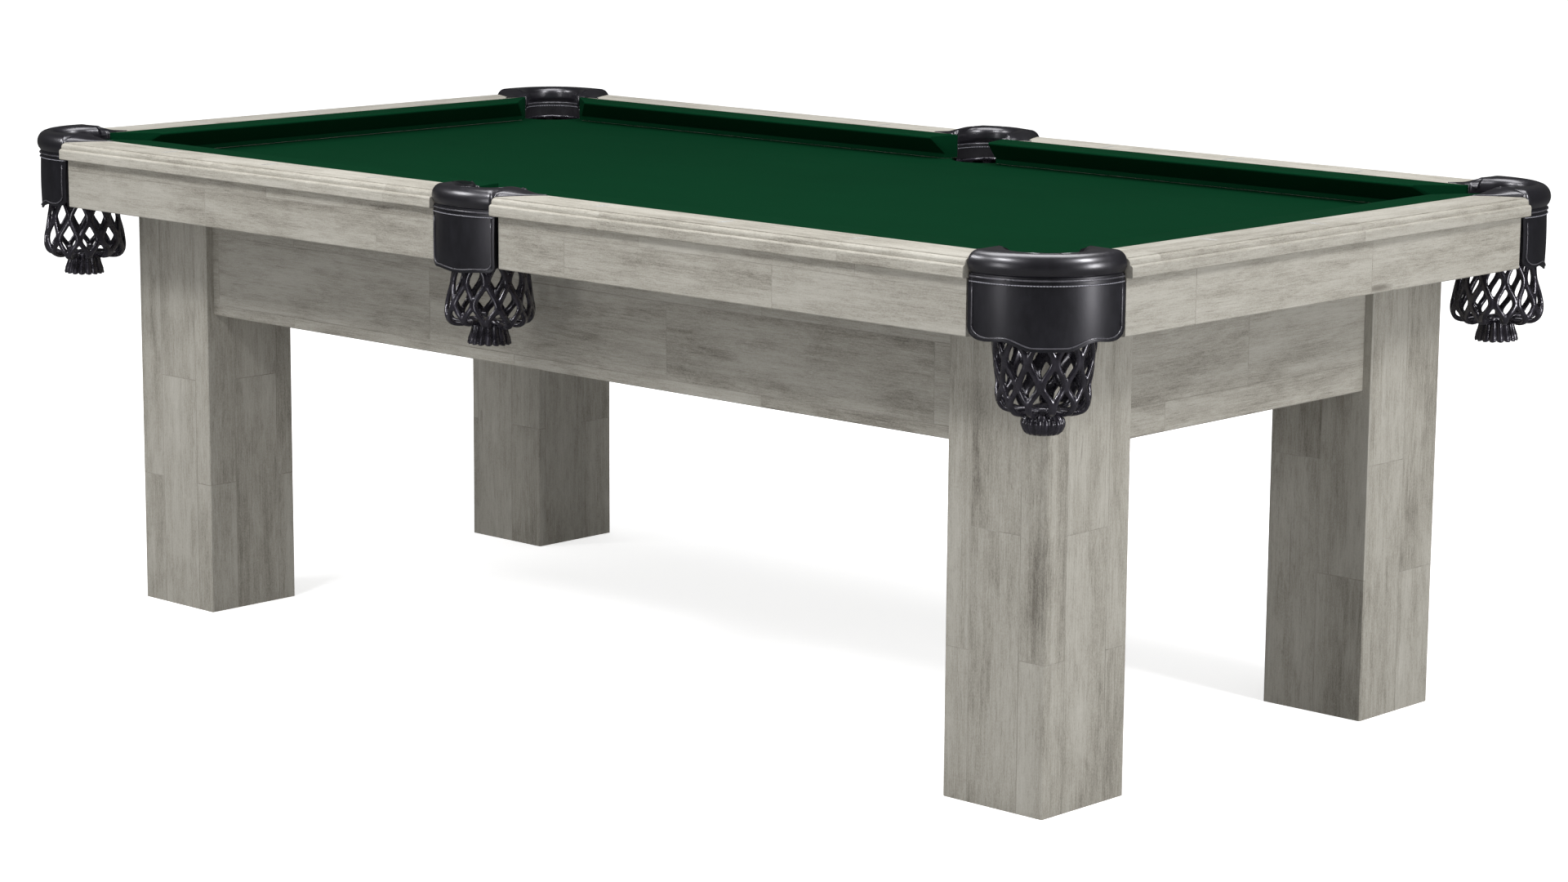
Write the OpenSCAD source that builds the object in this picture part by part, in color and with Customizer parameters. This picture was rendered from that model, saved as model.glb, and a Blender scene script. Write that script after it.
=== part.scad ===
// Seven-foot drop-pocket pool table: slate bed on four square legs.
// Origin at floor level under the middle of the table.
// X runs along the table, Y across it, Z up. Left is -X, front is -Y.

/* [Playing field] */
// Distance between the end cushions' noses
play_l = 1981.2; // [1600:0.1:2400]
// Distance between the side cushions' noses
play_w = 990.6; // [820:0.1:1200]
// Height of the cloth-covered bed above the floor
bed_h = 749; // [620:1:900]
// Height of a cushion's nose above the bed
nose_h = 36; // [34:0.5:38]
// Radius of a cushion's nose under its cloth
nose_r = 1.5; // [1:0.1:2]
// Width of a corner pocket's mouth between the nose tips
corner_mouth = 121; // [114:1:130]
// Width of a side pocket's mouth between the nose tips
side_mouth = 127; // [124:1:134]

/* [Rails] */
// Height of the rail top above the cloth on a cushion's nose
nose_step = 0.5; // [0:0.1:2]
// Nose line to the wooden part of the rail top
cloth_w = 58; // [54:1:64]
// Nose line to the back of the cushion rubber
rubber_w = 30; // [26:1:34]
// Nose line to the outer face of the aprons
rail_w = 124; // [103:0.1:149]
// How far the cap's lip stands out over the apron
lip_out = 14; // [8:1:20]
// Depth of the cap's lip below the rail top
lip_drop = 27; // [25:1:30]
// How far a rail runs past the end of its apron at a pocket
rail_over = 5; // [2:1:8]
// Share of the bare rail top between the cloth and the centre of the sights
sight_share = 0.42; // [0.35:0.01:0.6]
// Length of a sight, across the rail
sight_l = 40; // [20:1:50]
// Width of a sight
sight_w = 10; // [6:1:14]
// Thickness of a sight
sight_t = 1.5; // [1:0.1:2]
// Thickness of the rubber facing at a cushion's end
facing_t = 3; // [2:0.5:4]

/* [Aprons] */
// Height of an apron
apron_h = 79; // [60:1:110]
// Thickness of an apron
apron_t = 20; // [16:1:24]
// Width and height of the cleat behind an apron
cleat = 20; // [14:1:22]

/* [Bed] */
// Thickness of the slate
slate_t = 25.4; // [19:0.1:30]
// Gap between the slate's edge and an apron's cleat
slate_gap = 4; // [2:1:10]
// Thickness of the cloth
cloth_t = 1; // [0.5:0.1:1.2]
// Thickness of the wooden liner strips under the slate
liner_t = 19; // [12:1:30]
// Gap between a pocket's lining and the cut-out in the slate
cut_gap = 9; // [7:0.5:11]

/* [Cabinet] */
// Width of a square leg
leg_w = 178; // [120:0.1:214]
// Apron face to a leg's outer face, along the table
leg_in_x = 129.6; // [110:0.1:300]
// Apron face to a leg's outer face, across the table
leg_in_y = 154.3; // [130:0.1:220]
// How far the frame boards sit back from the legs' outer faces
board_inset = 15; // [6:1:40]
// Thickness of a frame board
board_t = 25; // [18:1:35]
// Height of a frame board
board_h = 201.6; // [150:0.1:260]
// Width of a cross beam
beam_w = 60; // [50:1:90]
// Height of a cross beam
beam_h = 124; // [110:1:140]
// Bevel along the long edges of legs, boards and aprons
edge_bevel = 1.5; // [0.5:0.1:3]

/* [Pockets] */
// Apron face to the centre of a corner pocket
corner_in = 82; // [80:1:86]
// Apron face to the centre of a side pocket
side_in = 51.3; // [50:0.1:56]
// Radius of the opening in the leather
mouth_r = 50; // [46:0.5:60]
// Opening in the leather to the outside of its shield
shield_past = 21; // [19:0.5:26]
// How far the padded roll stands out past the shield
roll_out = 5; // [3:0.5:8]
// How far the padded roll stands up above the rail top
roll_up = 11; // [8:1:14]
// Height of the lower edge of a shield below the apron's lower edge
shield_drop = 11; // [6:1:16]
// Thickness of the leather
leather_t = 3; // [2:0.5:4]
// Length of the leather ear that lies on a rail
ear_l = 42; // [25:1:60]
// How far a net bulges past the opening above it
net_out = 13.5; // [8:0.5:14]
// Thickness of a net's wall
net_t = 4; // [3:0.5:5]
// Height of a net below the bed
net_h = 168; // [140:1:190]
// Radius of a net's tassel
tassel_r = 29.5; // [24:0.5:34]
// Height of a net's tassel
tassel_h = 26; // [20:1:34]
// Outward lean of a corner net in degrees
corner_lean = 1.5; // [0:0.5:2]
// Outward lean of a side net in degrees
side_lean = 2; // [0:0.5:3]

/* [Levelling feet] */
// Radius of a foot's pad
pad_r = 22; // [16:1:30]
// Thickness of a foot's pad
pad_t = 12; // [10:1:16]
// Radius of a foot's threaded stud
stud_r = 5; // [4:0.5:6]
// Length of a stud
stud_l = 80; // [60:1:100]
// Radial clearance of a stud in its insert and its pad
stud_clear = 0.05; // [0.02:0.01:0.1]

/* [Hidden] */
$fn = 64;

// Heights
rail_rise = nose_h + nose_r + cloth_t + nose_step;
rail_z = bed_h + rail_rise;
slate_top = bed_h - cloth_t;
slate_bot = slate_top - slate_t;
frame_top = slate_bot - liner_t;
lip_z = rail_z - lip_drop;
apron_z = lip_z - apron_h;
board_z = frame_top - board_h;
nose_z = bed_h + nose_h;
seam_drop = 22;
seam_z = rail_z - seam_drop;
roll_top = rail_z + roll_up;
shield_z = apron_z - shield_drop;

// Half sizes in plan
half_l = play_l / 2;
half_w = play_w / 2;
face_x = half_l + rail_w;
face_y = half_w + rail_w;
leg_x = face_x - leg_in_x - leg_w / 2;
leg_y = face_y - leg_in_y - leg_w / 2;
board_x = leg_x + leg_w / 2 - board_inset;
board_y = leg_y + leg_w / 2 - board_inset;
slate_over = rail_w - apron_t - cleat - slate_gap;
slate_x = half_l + slate_over;
slate_y = half_w + slate_over;
joint_x = slate_x / 3;

// Pocket centres, and round them: the iron, the slate's cut-out, the shield and the net
corner_x = face_x - corner_in;
corner_y = face_y - corner_in;
side_y = face_y - side_in;
iron_gap = 1;
iron_w = 7;
iron_in = mouth_r + leather_t + iron_gap;
iron_out = iron_in + iron_w;
slate_cut_r = mouth_r + leather_t + cut_gap;
shield_out = mouth_r + shield_past;
net_r = mouth_r + net_out;

// Rail ends and apron ends: a corner's just clear its iron, a side pocket's leave more
side_spare = 4;
corner_gap = corner_in + iron_out + rail_over;
side_gap = 2 * (iron_out + side_spare + rail_over);
corner_end = corner_gap - rail_over;
corner_cut = corner_end - corner_in;
side_cut = side_gap / 2 - rail_over;
cloth_tuck = 4;
side_step = cloth_w - cloth_tuck;

// Cushion ends: corner facings at 142 degrees, side facings at 104
corner_slope = tan(52);
side_slope = tan(14);
corner_tip = corner_mouth / sqrt(2);
corner_shift = 1 / cos(52);
side_shift = 1 / cos(14);

// Leather: the shield and the roll follow one arc about arc_c
corner_chord = corner_gap / sqrt(2);
corner_chord_u = corner_in * sqrt(2) - corner_chord;
shield_gap = 1.5;
side_chord = side_gap / 2 - 2 * shield_gap;
side_edge_out = 4;
side_chord_u = side_in + side_edge_out;
fit_gap = 0.5;
shield_back = 5;
lining_z = bed_h - 3;
roll_round = 15;
roll_tuck = 3;
roll_flare = 7;

// Fasteners
rail_bolt_in = 22;
rail_bolt_end = 134;
rail_bolt_d = rubber_w + rail_bolt_in;
rail_bolt_r = 4.5;
rail_bolt_top = rail_z - 12;
rail_head_r = 7.5;
washer_r = 12;
washer_t = 2;
bolt_x0 = side_cut + rail_bolt_end;
bolt_x1 = face_x - corner_end - rail_bolt_end;
bolt_y1 = face_y - corner_end - rail_bolt_end;
rail_bolt_x = [bolt_x0, (bolt_x0 + bolt_x1) / 2, bolt_x1];
rail_bolt_y = [-bolt_y1, 0, bolt_y1];
slate_hole_r = 6;
screw_r = 2.5;
screw_end = 40;
cleat_back = 10;
cleat_screw_grip = 20;
cleat_head_r = 5;
cleat_head_h = 3;
screw_head_r = 6;
slate_screw_grip = 17.6;
slate_screw_l = slate_t + liner_t + slate_screw_grip;
lug_shift = 3;
lug_d = (side_step + rail_w - apron_t) / 2 + lug_shift;
lug_w = 20;
lug_l = 34;
lug_z = seam_z - 2;
lug_t = 10;
lug_root = 16;
lug_hole = lug_l - 12;
iron_bolt_top = rail_z - 6;
iron_bolt_r = 4;
bolt_head_h = 5;
bolt_head_r = 6.5;
block = 60;
block_under = 36;
block_over = 25.6;
block_h = board_h - block_under - block_over;
block_z = board_z + block_under;
beam_block = 40;
beam_block_h = 80;
bolt_inset = 20;
screw_inset = 50;
lag_r = 4;
insert_r = 9;
insert_l = 36;
insert_z = pad_t + 4;
stud_seat = 4;
axial_gap = 0.3;

LONG = [["front_left", -1, -1], ["front_right", 1, -1], ["back_left", -1, 1], ["back_right", 1, 1]];
ENDS = [["end_left", -1], ["end_right", 1]];
SIDES = [["side_front", -1], ["side_back", 1]];

wood_light = "#a9a59b";
wood_dark = "#8d897f";
pine = "#c9b48c";
steel = "#8f9296";
leather_black = "#232327";
felt = "#10402a";

// ---- Placing ----

// Draws its children in the quadrant given by two signs
module quadrant(sx, sy) {
    mirror([sx < 0 ? 1 : 0, 0, 0])
        mirror([0, sy < 0 ? 1 : 0, 0])
            children();
}

// A long rail's frame: X along the rail, +Y outward from the nose line
module at_long(sx, sy) {
    quadrant(sx, sy)
        translate([0, half_w, 0])
            children();
}

// An end rail's frame: X along the rail, +Y outward from the nose line
module at_end(sx) {
    quadrant(sx, 1)
        translate([half_l, 0, 0])
            rotate([0, 0, -90])
                children();
}

// A pocket's frame: origin at its centre, +X outward from the table
module at_corner(sx, sy) {
    translate([sx * corner_x, sy * corner_y, 0])
        rotate([0, 0, atan2(sy, sx)])
            children();
}

module at_side(sy) {
    translate([0, sy * side_y, 0])
        rotate([0, 0, 90 * sy])
            children();
}

// A corner pocket's frame turned so that X and Y run along the rails, outward
module square_to_rails() {
    rotate([0, 0, -45])
        children();
}

// ---- Rail sections, drawn as [distance from the nose line, height] ----

face_angle = 227;

function nose_arc(r) = [for (i = [0:8])
    let (a = 90 + i * (face_angle - 90) / 8)
    [nose_r + cloth_t + r * cos(a), nose_z + r * sin(a)]];

// Height of the cushion's sloping face at distance d, on a skin of radius r
function face_height(d, r) = let (p = nose_arc(r)[8])
    p[1] - cos(face_angle) / sin(face_angle) * (d - p[0]);

function rubber_section() = concat(
    [[rubber_w, rail_z - cloth_t]],
    nose_arc(nose_r),
    [[rubber_w, face_height(rubber_w, nose_r)]]);

function under_cloth_section() = concat(
    [[cloth_w, rail_z - cloth_t]],
    rubber_section(),
    [[rubber_w, bed_h], [cloth_w, bed_h]]);

function over_cloth_section() = concat(
    [[cloth_w, rail_z], [rubber_w, rail_z]],
    nose_arc(nose_r + cloth_t),
    [[rubber_w - cloth_t, face_height(rubber_w - cloth_t, nose_r + cloth_t)],
     [rubber_w - cloth_t, bed_h], [cloth_w, bed_h]]);

function quarter(cx, cz, r, n) = [for (i = [0:n])
    [cx + r * cos(i * 90 / n), cz + r * sin(i * 90 / n)]];

// The wooden rail: a bevelled lip, two round members and a flat top
lip_x = rail_w + lip_out;
bead_r = 4;
bead_drop = 14;
ovolo_r = 6;
top_step = 1.4;
bead_step = 0.8;
bead_z = rail_z - bead_drop;
ovolo_z = rail_z - ovolo_r - top_step;
ovolo_x = lip_x - bead_r - ovolo_r - bead_step;
sight_off = cloth_w + sight_share * (ovolo_x - cloth_w);

function wood_section() = concat(
    [[rubber_w, bed_h], [rail_w - apron_t, bed_h], [rail_w - apron_t, lip_z],
     [lip_x - edge_bevel, lip_z], [lip_x, lip_z + edge_bevel]],
    quarter(lip_x - bead_r, bead_z, bead_r, 5),
    [[ovolo_x + ovolo_r, bead_z + bead_r]],
    quarter(ovolo_x, ovolo_z, ovolo_r, 6),
    [[ovolo_x, rail_z], [cloth_w, rail_z], [cloth_w, rail_z - cloth_t],
     [rubber_w, rail_z - cloth_t]]);

// ---- Rail plans ----

// Distance from the nose line at which a corner facing meets the rail's end cut
corner_dc = (corner_tip - corner_end + rail_w) / corner_slope;

function corner_end_pts(tip, cut, e) = [
    [tip - e * corner_shift, 0],
    [tip - e * corner_shift + corner_slope * corner_dc, corner_dc],
    [cut, corner_dc],
    [cut, lip_x + 1]];

// Outline of a rail cut back by e at its facings, from x = 0 to its right end
module long_plan(e) {
    side_x = side_mouth / 2 + e * side_shift;
    translate([0, 0, bed_h - 1])
        linear_extrude(rail_rise + 2)
            polygon(concat(
                corner_end_pts(half_l - corner_tip, face_x - corner_end, e),
                [[side_cut, lip_x + 1], [side_cut, side_step],
                 [side_x - side_slope * side_step, side_step], [side_x, 0]]));
}

module end_plan(e) {
    pts = corner_end_pts(half_w - corner_tip, face_y - corner_end, e);
    translate([0, 0, bed_h - 1])
        linear_extrude(rail_rise + 2)
            polygon(concat(pts, [for (i = [len(pts) - 1:-1:0]) [-pts[i][0], pts[i][1]]]));
}

// A section swept along the rail, long enough for every rail
module sweep(section) {
    translate([-face_x, 0, 0])
        rotate([90, 0, 90])
            linear_extrude(2 * face_x)
                polygon(section);
}

// ---- Rails ----

module sight_shape(t) {
    r = (pow(sight_l / 2, 2) + pow(sight_w / 2, 2)) / sight_w;
    translate([0, sight_off, rail_z - sight_t])
        intersection() {
            translate([r - sight_w / 2, 0, 0])
                cylinder(r = r, h = t);
            translate([sight_w / 2 - r, 0, 0])
                cylinder(r = r, h = t);
        }
}

function long_sights() = [for (i = [1:3]) i * play_l / 8];
function end_sights() = [for (i = [-1:1]) i * play_w / 4];

// The slot that an iron's lug is let into, reaching back from a rail's end
module lug_slot() {
    translate([-2, lug_d - lug_w / 2 - 1, bed_h - 1])
        cube([lug_l + 3, lug_w + 2, lug_z + lug_t - bed_h + 1]);
    translate([lug_hole, lug_d, bed_h])
        cylinder(r = iron_bolt_r, h = iron_bolt_top - bed_h);
}

module rail_drillings(sights, bolts) {
    for (x = sights)
        translate([x, 0, 0])
            sight_shape(sight_t + 1);
    for (x = bolts)
        translate([x, rail_bolt_d, bed_h - 1])
            cylinder(r = rail_bolt_r, h = rail_bolt_top - bed_h + 1);
}

function long_cleat_x() = let (a = side_gap / 2 + screw_end, b = face_x - corner_gap - screw_end)
    [a, (a + b) / 2, b];
function end_cleat_x() = let (b = face_y - corner_gap - screw_end) [-b, 0, b];

module cleat_drillings(xs) {
    for (x = xs)
        translate([x, rail_w - apron_t - cleat / 2, bed_h - cleat - 1])
            cylinder(r = screw_r, h = cleat + cleat_screw_grip + 1);
}

module long_rail(sx, sy) {
    color(wood_light)
        at_long(sx, sy)
            difference() {
                intersection() {
                    sweep(wood_section());
                    long_plan(cloth_t);
                }
                rail_drillings(long_sights(), rail_bolt_x);
                cleat_drillings(long_cleat_x());
                translate([side_cut, 0, 0])
                    lug_slot();
                translate([face_x - corner_end, 0, 0])
                    mirror([1, 0, 0])
                        lug_slot();
            }
}

module end_rail(sx) {
    cut = face_y - corner_end;
    color(wood_light)
        at_end(sx)
            difference() {
                intersection() {
                    sweep(wood_section());
                    end_plan(cloth_t);
                }
                rail_drillings(end_sights(), rail_bolt_y);
                cleat_drillings(end_cleat_x());
                translate([-cut, 0, 0])
                    lug_slot();
                translate([cut, 0, 0])
                    mirror([1, 0, 0])
                        lug_slot();
            }
}

module each_rail() {
    for (q = LONG)
        at_long(q[1], q[2])
            children(0);
    for (q = ENDS)
        at_end(q[1])
            children(1);
}

module cloth_skin() {
    difference() {
        intersection() {
            sweep(over_cloth_section());
            children(0);
        }
        intersection() {
            sweep(under_cloth_section());
            children(1);
        }
    }
}

module rail_cloths() {
    color(felt)
        each_rail() {
            cloth_skin() {
                long_plan(0);
                long_plan(cloth_t);
            }
            cloth_skin() {
                end_plan(0);
                end_plan(cloth_t);
            }
        }
}

module cushion_rubbers() {
    color("#2b2b2b")
        each_rail() {
            intersection() {
                sweep(rubber_section());
                long_plan(cloth_t + facing_t);
            }
            intersection() {
                sweep(rubber_section());
                end_plan(cloth_t + facing_t);
            }
        }
}

module facings() {
    difference() {
        intersection() {
            sweep(rubber_section());
            children(0);
        }
        children(1);
    }
}

module cushion_facings() {
    color("#3a3a3a")
        each_rail() {
            facings() {
                long_plan(cloth_t);
                long_plan(cloth_t + facing_t);
            }
            facings() {
                end_plan(cloth_t);
                end_plan(cloth_t + facing_t);
            }
        }
}

module sights() {
    color("#eceae4")
        each_rail() {
            for (x = long_sights())
                translate([x, 0, 0])
                    sight_shape(sight_t);
            for (x = end_sights())
                translate([x, 0, 0])
                    sight_shape(sight_t);
        }
}

module rail_bolt(x) {
    translate([x, rail_bolt_d, slate_bot - washer_t]) {
        cylinder(r = washer_r, h = washer_t);
        translate([0, 0, -bolt_head_h])
            cylinder(r = rail_head_r, h = bolt_head_h, $fn = 6);
        translate([0, 0, -0.5])
            cylinder(r = rail_bolt_r, h = rail_bolt_top - slate_bot + washer_t);
    }
}

module rail_bolts() {
    color(steel)
        each_rail() {
            for (x = rail_bolt_x)
                rail_bolt(x);
            for (x = rail_bolt_y)
                rail_bolt(x);
        }
}

// ---- Aprons ----

// A board along X whose outer face looks to +Y, bevelled along its outer edges
module board(x0, x1, y_out, t, z0, z1) {
    translate([x0, 0, 0])
        rotate([90, 0, 90])
            linear_extrude(x1 - x0)
                polygon([[y_out - t, z0], [y_out - edge_bevel, z0], [y_out, z0 + edge_bevel],
                         [y_out, z1 - edge_bevel], [y_out - edge_bevel, z1], [y_out - t, z1]]);
}

module long_apron(sx, sy) {
    color(wood_light)
        quadrant(sx, sy)
            board(side_gap / 2, face_x - corner_gap, face_y, apron_t, apron_z, lip_z);
}

module end_apron(sx) {
    color(wood_light)
        quadrant(sx, 1)
            rotate([0, 0, -90])
                board(corner_gap - face_y, face_y - corner_gap, face_x, apron_t, apron_z, lip_z);
}

module cleat_strip(x0, x1, xs) {
    difference() {
        translate([x0, rail_w - apron_t - cleat, bed_h - cleat])
            cube([x1 - x0, cleat, cleat]);
        cleat_drillings(xs);
    }
}

module apron_cleats() {
    end_x = face_y - corner_gap - cleat_back;
    color(pine)
        each_rail() {
            cleat_strip(side_gap / 2 + cleat_back, face_x - corner_gap - cleat_back, long_cleat_x());
            cleat_strip(-end_x, end_x, end_cleat_x());
        }
}

module cleat_screw(x) {
    translate([x, rail_w - apron_t - cleat / 2, bed_h - cleat]) {
        translate([0, 0, -cleat_head_h])
            cylinder(r = cleat_head_r, h = cleat_head_h);
        translate([0, 0, -0.5])
            cylinder(r = screw_r, h = cleat + cleat_screw_grip + 0.5);
    }
}

module cleat_screws() {
    color(steel)
        each_rail() {
            for (x = long_cleat_x())
                cleat_screw(x);
            for (x = end_cleat_x())
                cleat_screw(x);
        }
}

// ---- Bed ----

module pocket_cuts(z0, h) {
    for (q = LONG)
        at_corner(q[1], q[2])
            slate_cut(z0, h);
    for (q = SIDES)
        at_side(q[1])
            slate_cut(z0, h);
}

module slate_cut(z0, h) {
    translate([0, 0, z0])
        cylinder(r = slate_cut_r, h = h);
    translate([0, -slate_cut_r, z0])
        cube([corner_gap, 2 * slate_cut_r, h]);
}

module bed_bolt_holes(z0, h) {
    each_rail() {
        for (x = rail_bolt_x)
            translate([x, rail_bolt_d, z0])
                cylinder(r = slate_hole_r, h = h);
        for (x = rail_bolt_y)
            translate([x, rail_bolt_d, z0])
                cylinder(r = slate_hole_r, h = h);
    }
}

// Slate screws: along the end boards, the side boards and the cross beams
beam_edge = beam_w / 4;
function slate_screw_at() = let (beam_y = beam_block_at[1] - screw_inset, side_mid = board_y - board_t / 2) [
    [board_x - board_t / 2, end_block[1] - screw_inset],
    [(joint_x + board_x) / 2, side_mid], [joint_x / 2, side_mid],
    [joint_x + beam_edge, beam_y], [joint_x - beam_edge, beam_y]];

module each_slate_screw() {
    for (q = LONG)
        quadrant(q[1], q[2])
            for (p = slate_screw_at())
                translate([p[0], p[1], 0])
                    children();
}

module slate_screw(extra) {
    translate([0, 0, slate_top - slate_screw_l])
        cylinder(r = screw_r + extra, h = slate_screw_l - 1);
    translate([0, 0, slate_top - screw_head_r + screw_r])
        cylinder(r1 = screw_r + extra, r2 = screw_head_r + extra, h = screw_head_r - screw_r);
}

module slate_screws() {
    color(steel)
        each_slate_screw()
            slate_screw(0);
}

module slate(x0, x1) {
    color("#5d6166")
        difference() {
            translate([x0, -slate_y, slate_bot])
                cube([x1 - x0, 2 * slate_y, slate_t]);
            pocket_cuts(slate_bot - 1, slate_t + 2);
            bed_bolt_holes(slate_bot - 1, slate_t + 2);
            each_slate_screw()
                slate_screw(0.5);
            each_slate_screw()
                translate([0, 0, slate_top])
                    cylinder(r = screw_head_r + 0.5, h = 1);
        }
}

module bed_cloth() {
    color(felt)
        difference() {
            translate([-slate_x, -slate_y, slate_top])
                cube([2 * slate_x, 2 * slate_y, cloth_t]);
            pocket_cuts(slate_top - 1, cloth_t + 2);
            bed_bolt_holes(slate_top - 1, cloth_t + 2);
        }
}

liner_w = 60;
liner_x = board_x - 5;
liner_y = board_y + 10;

module liner_strip(x0, x1, y0, y1) {
    translate([x0, y0, frame_top])
        cube([x1 - x0, y1 - y0, liner_t]);
}

module slate_liners() {
    inner_y = liner_y - liner_w;
    color(pine)
        difference() {
            union() {
                for (sx = [-1, 1])
                    for (sy = [-1, 1])
                        quadrant(sx, sy)
                            liner_strip(joint_x, liner_x, inner_y, liner_y);
                for (sy = [-1, 1])
                    quadrant(1, sy)
                        liner_strip(-joint_x, joint_x, inner_y, liner_y);
                for (sx = [-1, 1])
                    quadrant(sx, 1) {
                        liner_strip(joint_x - beam_w / 2, joint_x, -inner_y, inner_y);
                        liner_strip(joint_x, joint_x + beam_w / 2, -inner_y, inner_y);
                        liner_strip(liner_x - liner_w, liner_x, -inner_y, inner_y);
                    }
            }
            each_slate_screw()
                slate_screw(0);
        }
}

// ---- Cabinet ----

module leg(sx, sy) {
    b = edge_bevel;
    h = leg_w / 2;
    color(wood_light)
        difference() {
            translate([sx * leg_x, sy * leg_y, 0])
                linear_extrude(frame_top)
                    polygon([[-h + b, -h], [h - b, -h], [h, -h + b], [h, h - b],
                             [h - b, h], [-h + b, h], [-h, h - b], [-h, -h + b]]);
            translate([sx * leg_x, sy * leg_y, -1]) {
                cylinder(r = pad_r + 2, h = insert_z + 1);
                cylinder(r = insert_r, h = insert_z + insert_l + 1);
                cylinder(r = stud_r + 1, h = stud_seat + stud_l + 12);
            }
            quadrant(sx, sy)
                leg_bolt_set();
        }
}

module side_board(sy) {
    x = leg_x - leg_w / 2;
    color(wood_dark)
        difference() {
            quadrant(1, sy)
                board(-x, x, board_y, board_t, board_z, frame_top);
            each_slate_screw()
                slate_screw(0);
            for (sx = [-1, 1])
                quadrant(sx, sy)
                    side_screw_set();
        }
}

module end_board(sx) {
    y = leg_y - leg_w / 2;
    color(wood_dark)
        difference() {
            quadrant(sx, 1)
                rotate([0, 0, -90])
                    board(-y, y, board_x, board_t, board_z, frame_top);
            each_slate_screw()
                slate_screw(0);
            for (sy = [-1, 1])
                quadrant(sx, sy)
                    end_screw_set();
        }
}

module cross_beams() {
    y = board_y - board_t;
    color(pine)
        difference() {
            for (sx = [-1, 1])
                translate([sx * joint_x - beam_w / 2, -y, frame_top - beam_h])
                    cube([beam_w, 2 * y, beam_h]);
            each_slate_screw()
                slate_screw(0);
            for (q = LONG)
                quadrant(q[1], q[2])
                    beam_screw_set();
        }
}

// Blocks in the +X +Y quadrant: side board to leg, end board to leg, beam to side board
side_block = [leg_x - leg_w / 2 - block, board_y - board_t - block];
end_block = [board_x - board_t - block, leg_y - leg_w / 2 - block];
beam_block_at = [joint_x + beam_w / 2, board_y - board_t - beam_block];
beam_block_z = frame_top - beam_h + bolt_inset;

module corner_blocks() {
    color(pine)
        for (q = LONG)
            quadrant(q[1], q[2])
                difference() {
                    union() {
                        translate([side_block[0], side_block[1], block_z])
                            cube([block, block, block_h]);
                        translate([end_block[0], end_block[1], block_z])
                            cube([block, block, block_h]);
                        translate([beam_block_at[0], beam_block_at[1], beam_block_z])
                            cube([beam_block, beam_block, beam_block_h]);
                    }
                    leg_bolt_set();
                    side_screw_set();
                    end_screw_set();
                    beam_screw_set();
                }
}

// A lag bolt that points along +Y from its head's seat at the origin
module lag(l) {
    rotate([-90, 0, 0]) {
        cylinder(r = lag_r, h = l);
        translate([0, 0, -bolt_head_h])
            cylinder(r = bolt_head_r, h = bolt_head_h + 0.5, $fn = 6);
    }
}

module lag_x(l) {
    rotate([0, 0, -90])
        lag(l);
}

leg_grip = 45;
board_grip = 16;
beam_grip = 30;
leg_bolt_l = block + leg_grip;
board_screw_l = block + board_grip;
beam_side_screw_l = beam_block + board_grip;
beam_screw_l = beam_block + beam_grip;

module leg_bolt_set() {
    for (z = [bolt_inset, block_h - bolt_inset]) {
        translate([side_block[0], side_block[1] + block / 2, block_z + z])
            lag_x(leg_bolt_l);
        translate([end_block[0] + block / 2, end_block[1], block_z + z])
            lag(leg_bolt_l);
    }
}

module side_screw_set() {
    for (z = [screw_inset, block_h - screw_inset])
        translate([side_block[0] + block / 2, side_block[1], block_z + z])
            lag(board_screw_l);
    translate([beam_block_at[0] + beam_block / 2, beam_block_at[1], beam_block_z + beam_block_h - bolt_inset])
        lag(beam_side_screw_l);
}

module end_screw_set() {
    for (z = [screw_inset, block_h - screw_inset])
        translate([end_block[0], end_block[1] + block / 2, block_z + z])
            lag_x(board_screw_l);
}

module beam_screw_set() {
    translate([beam_block_at[0] + beam_block, beam_block_at[1] + beam_block / 2, beam_block_z + bolt_inset])
        rotate([0, 0, 90])
            lag(beam_screw_l);
}

module leg_bolts() {
    color(steel)
        for (q = LONG)
            quadrant(q[1], q[2])
                leg_bolt_set();
}

module frame_screws() {
    color(steel)
        for (q = LONG)
            quadrant(q[1], q[2]) {
                side_screw_set();
                end_screw_set();
                beam_screw_set();
            }
}

// ---- Pockets ----

// Radius of the arc through the shield's middle and its two edges
function arc_r(chord, chord_u) = let (s = shield_out - chord_u)
    (chord * chord + s * s) / (2 * s);

// Round padded roll on top of the shield, solid inside the arc
module roll_disc(r) {
    rotate_extrude()
        polygon(concat(
            [[0, seam_z], [r - roll_tuck, seam_z], [r, seam_z + roll_tuck]],
            quarter(r - roll_round, roll_top - roll_round, roll_round, 8),
            [[0, roll_top]]));
}

// Iron ring cut open towards the table, without its lugs
iron_back = 12;
module iron_ring() {
    translate([0, 0, lug_z])
        intersection() {
            difference() {
                cylinder(r = iron_out, h = lug_t);
                translate([0, 0, -1])
                    cylinder(r = iron_in, h = lug_t + 2);
            }
            translate([-iron_back, -iron_out, 0])
                cube([iron_back + iron_out, 2 * iron_out, lug_t]);
        }
}

// The opening for balls: round on the outside, straight towards the table, flared on top
module opening() {
    flare_z = roll_top - roll_flare + 1;
    translate([0, 0, shield_z - 1])
        cylinder(r = mouth_r, h = roll_top - shield_z + 2);
    translate([-corner_gap, -mouth_r, shield_z - 1])
        cube([corner_gap, 2 * mouth_r, roll_top - shield_z + 2]);
    translate([0, 0, flare_z])
        cylinder(r1 = mouth_r, r2 = mouth_r + roll_flare, h = roll_flare);
    rotate([0, -90, 0])
        linear_extrude(corner_gap)
            polygon([[flare_z, -mouth_r], [flare_z, mouth_r],
                     [flare_z + roll_flare, mouth_r + roll_flare],
                     [flare_z + roll_flare, -mouth_r - roll_flare]]);
}

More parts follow.
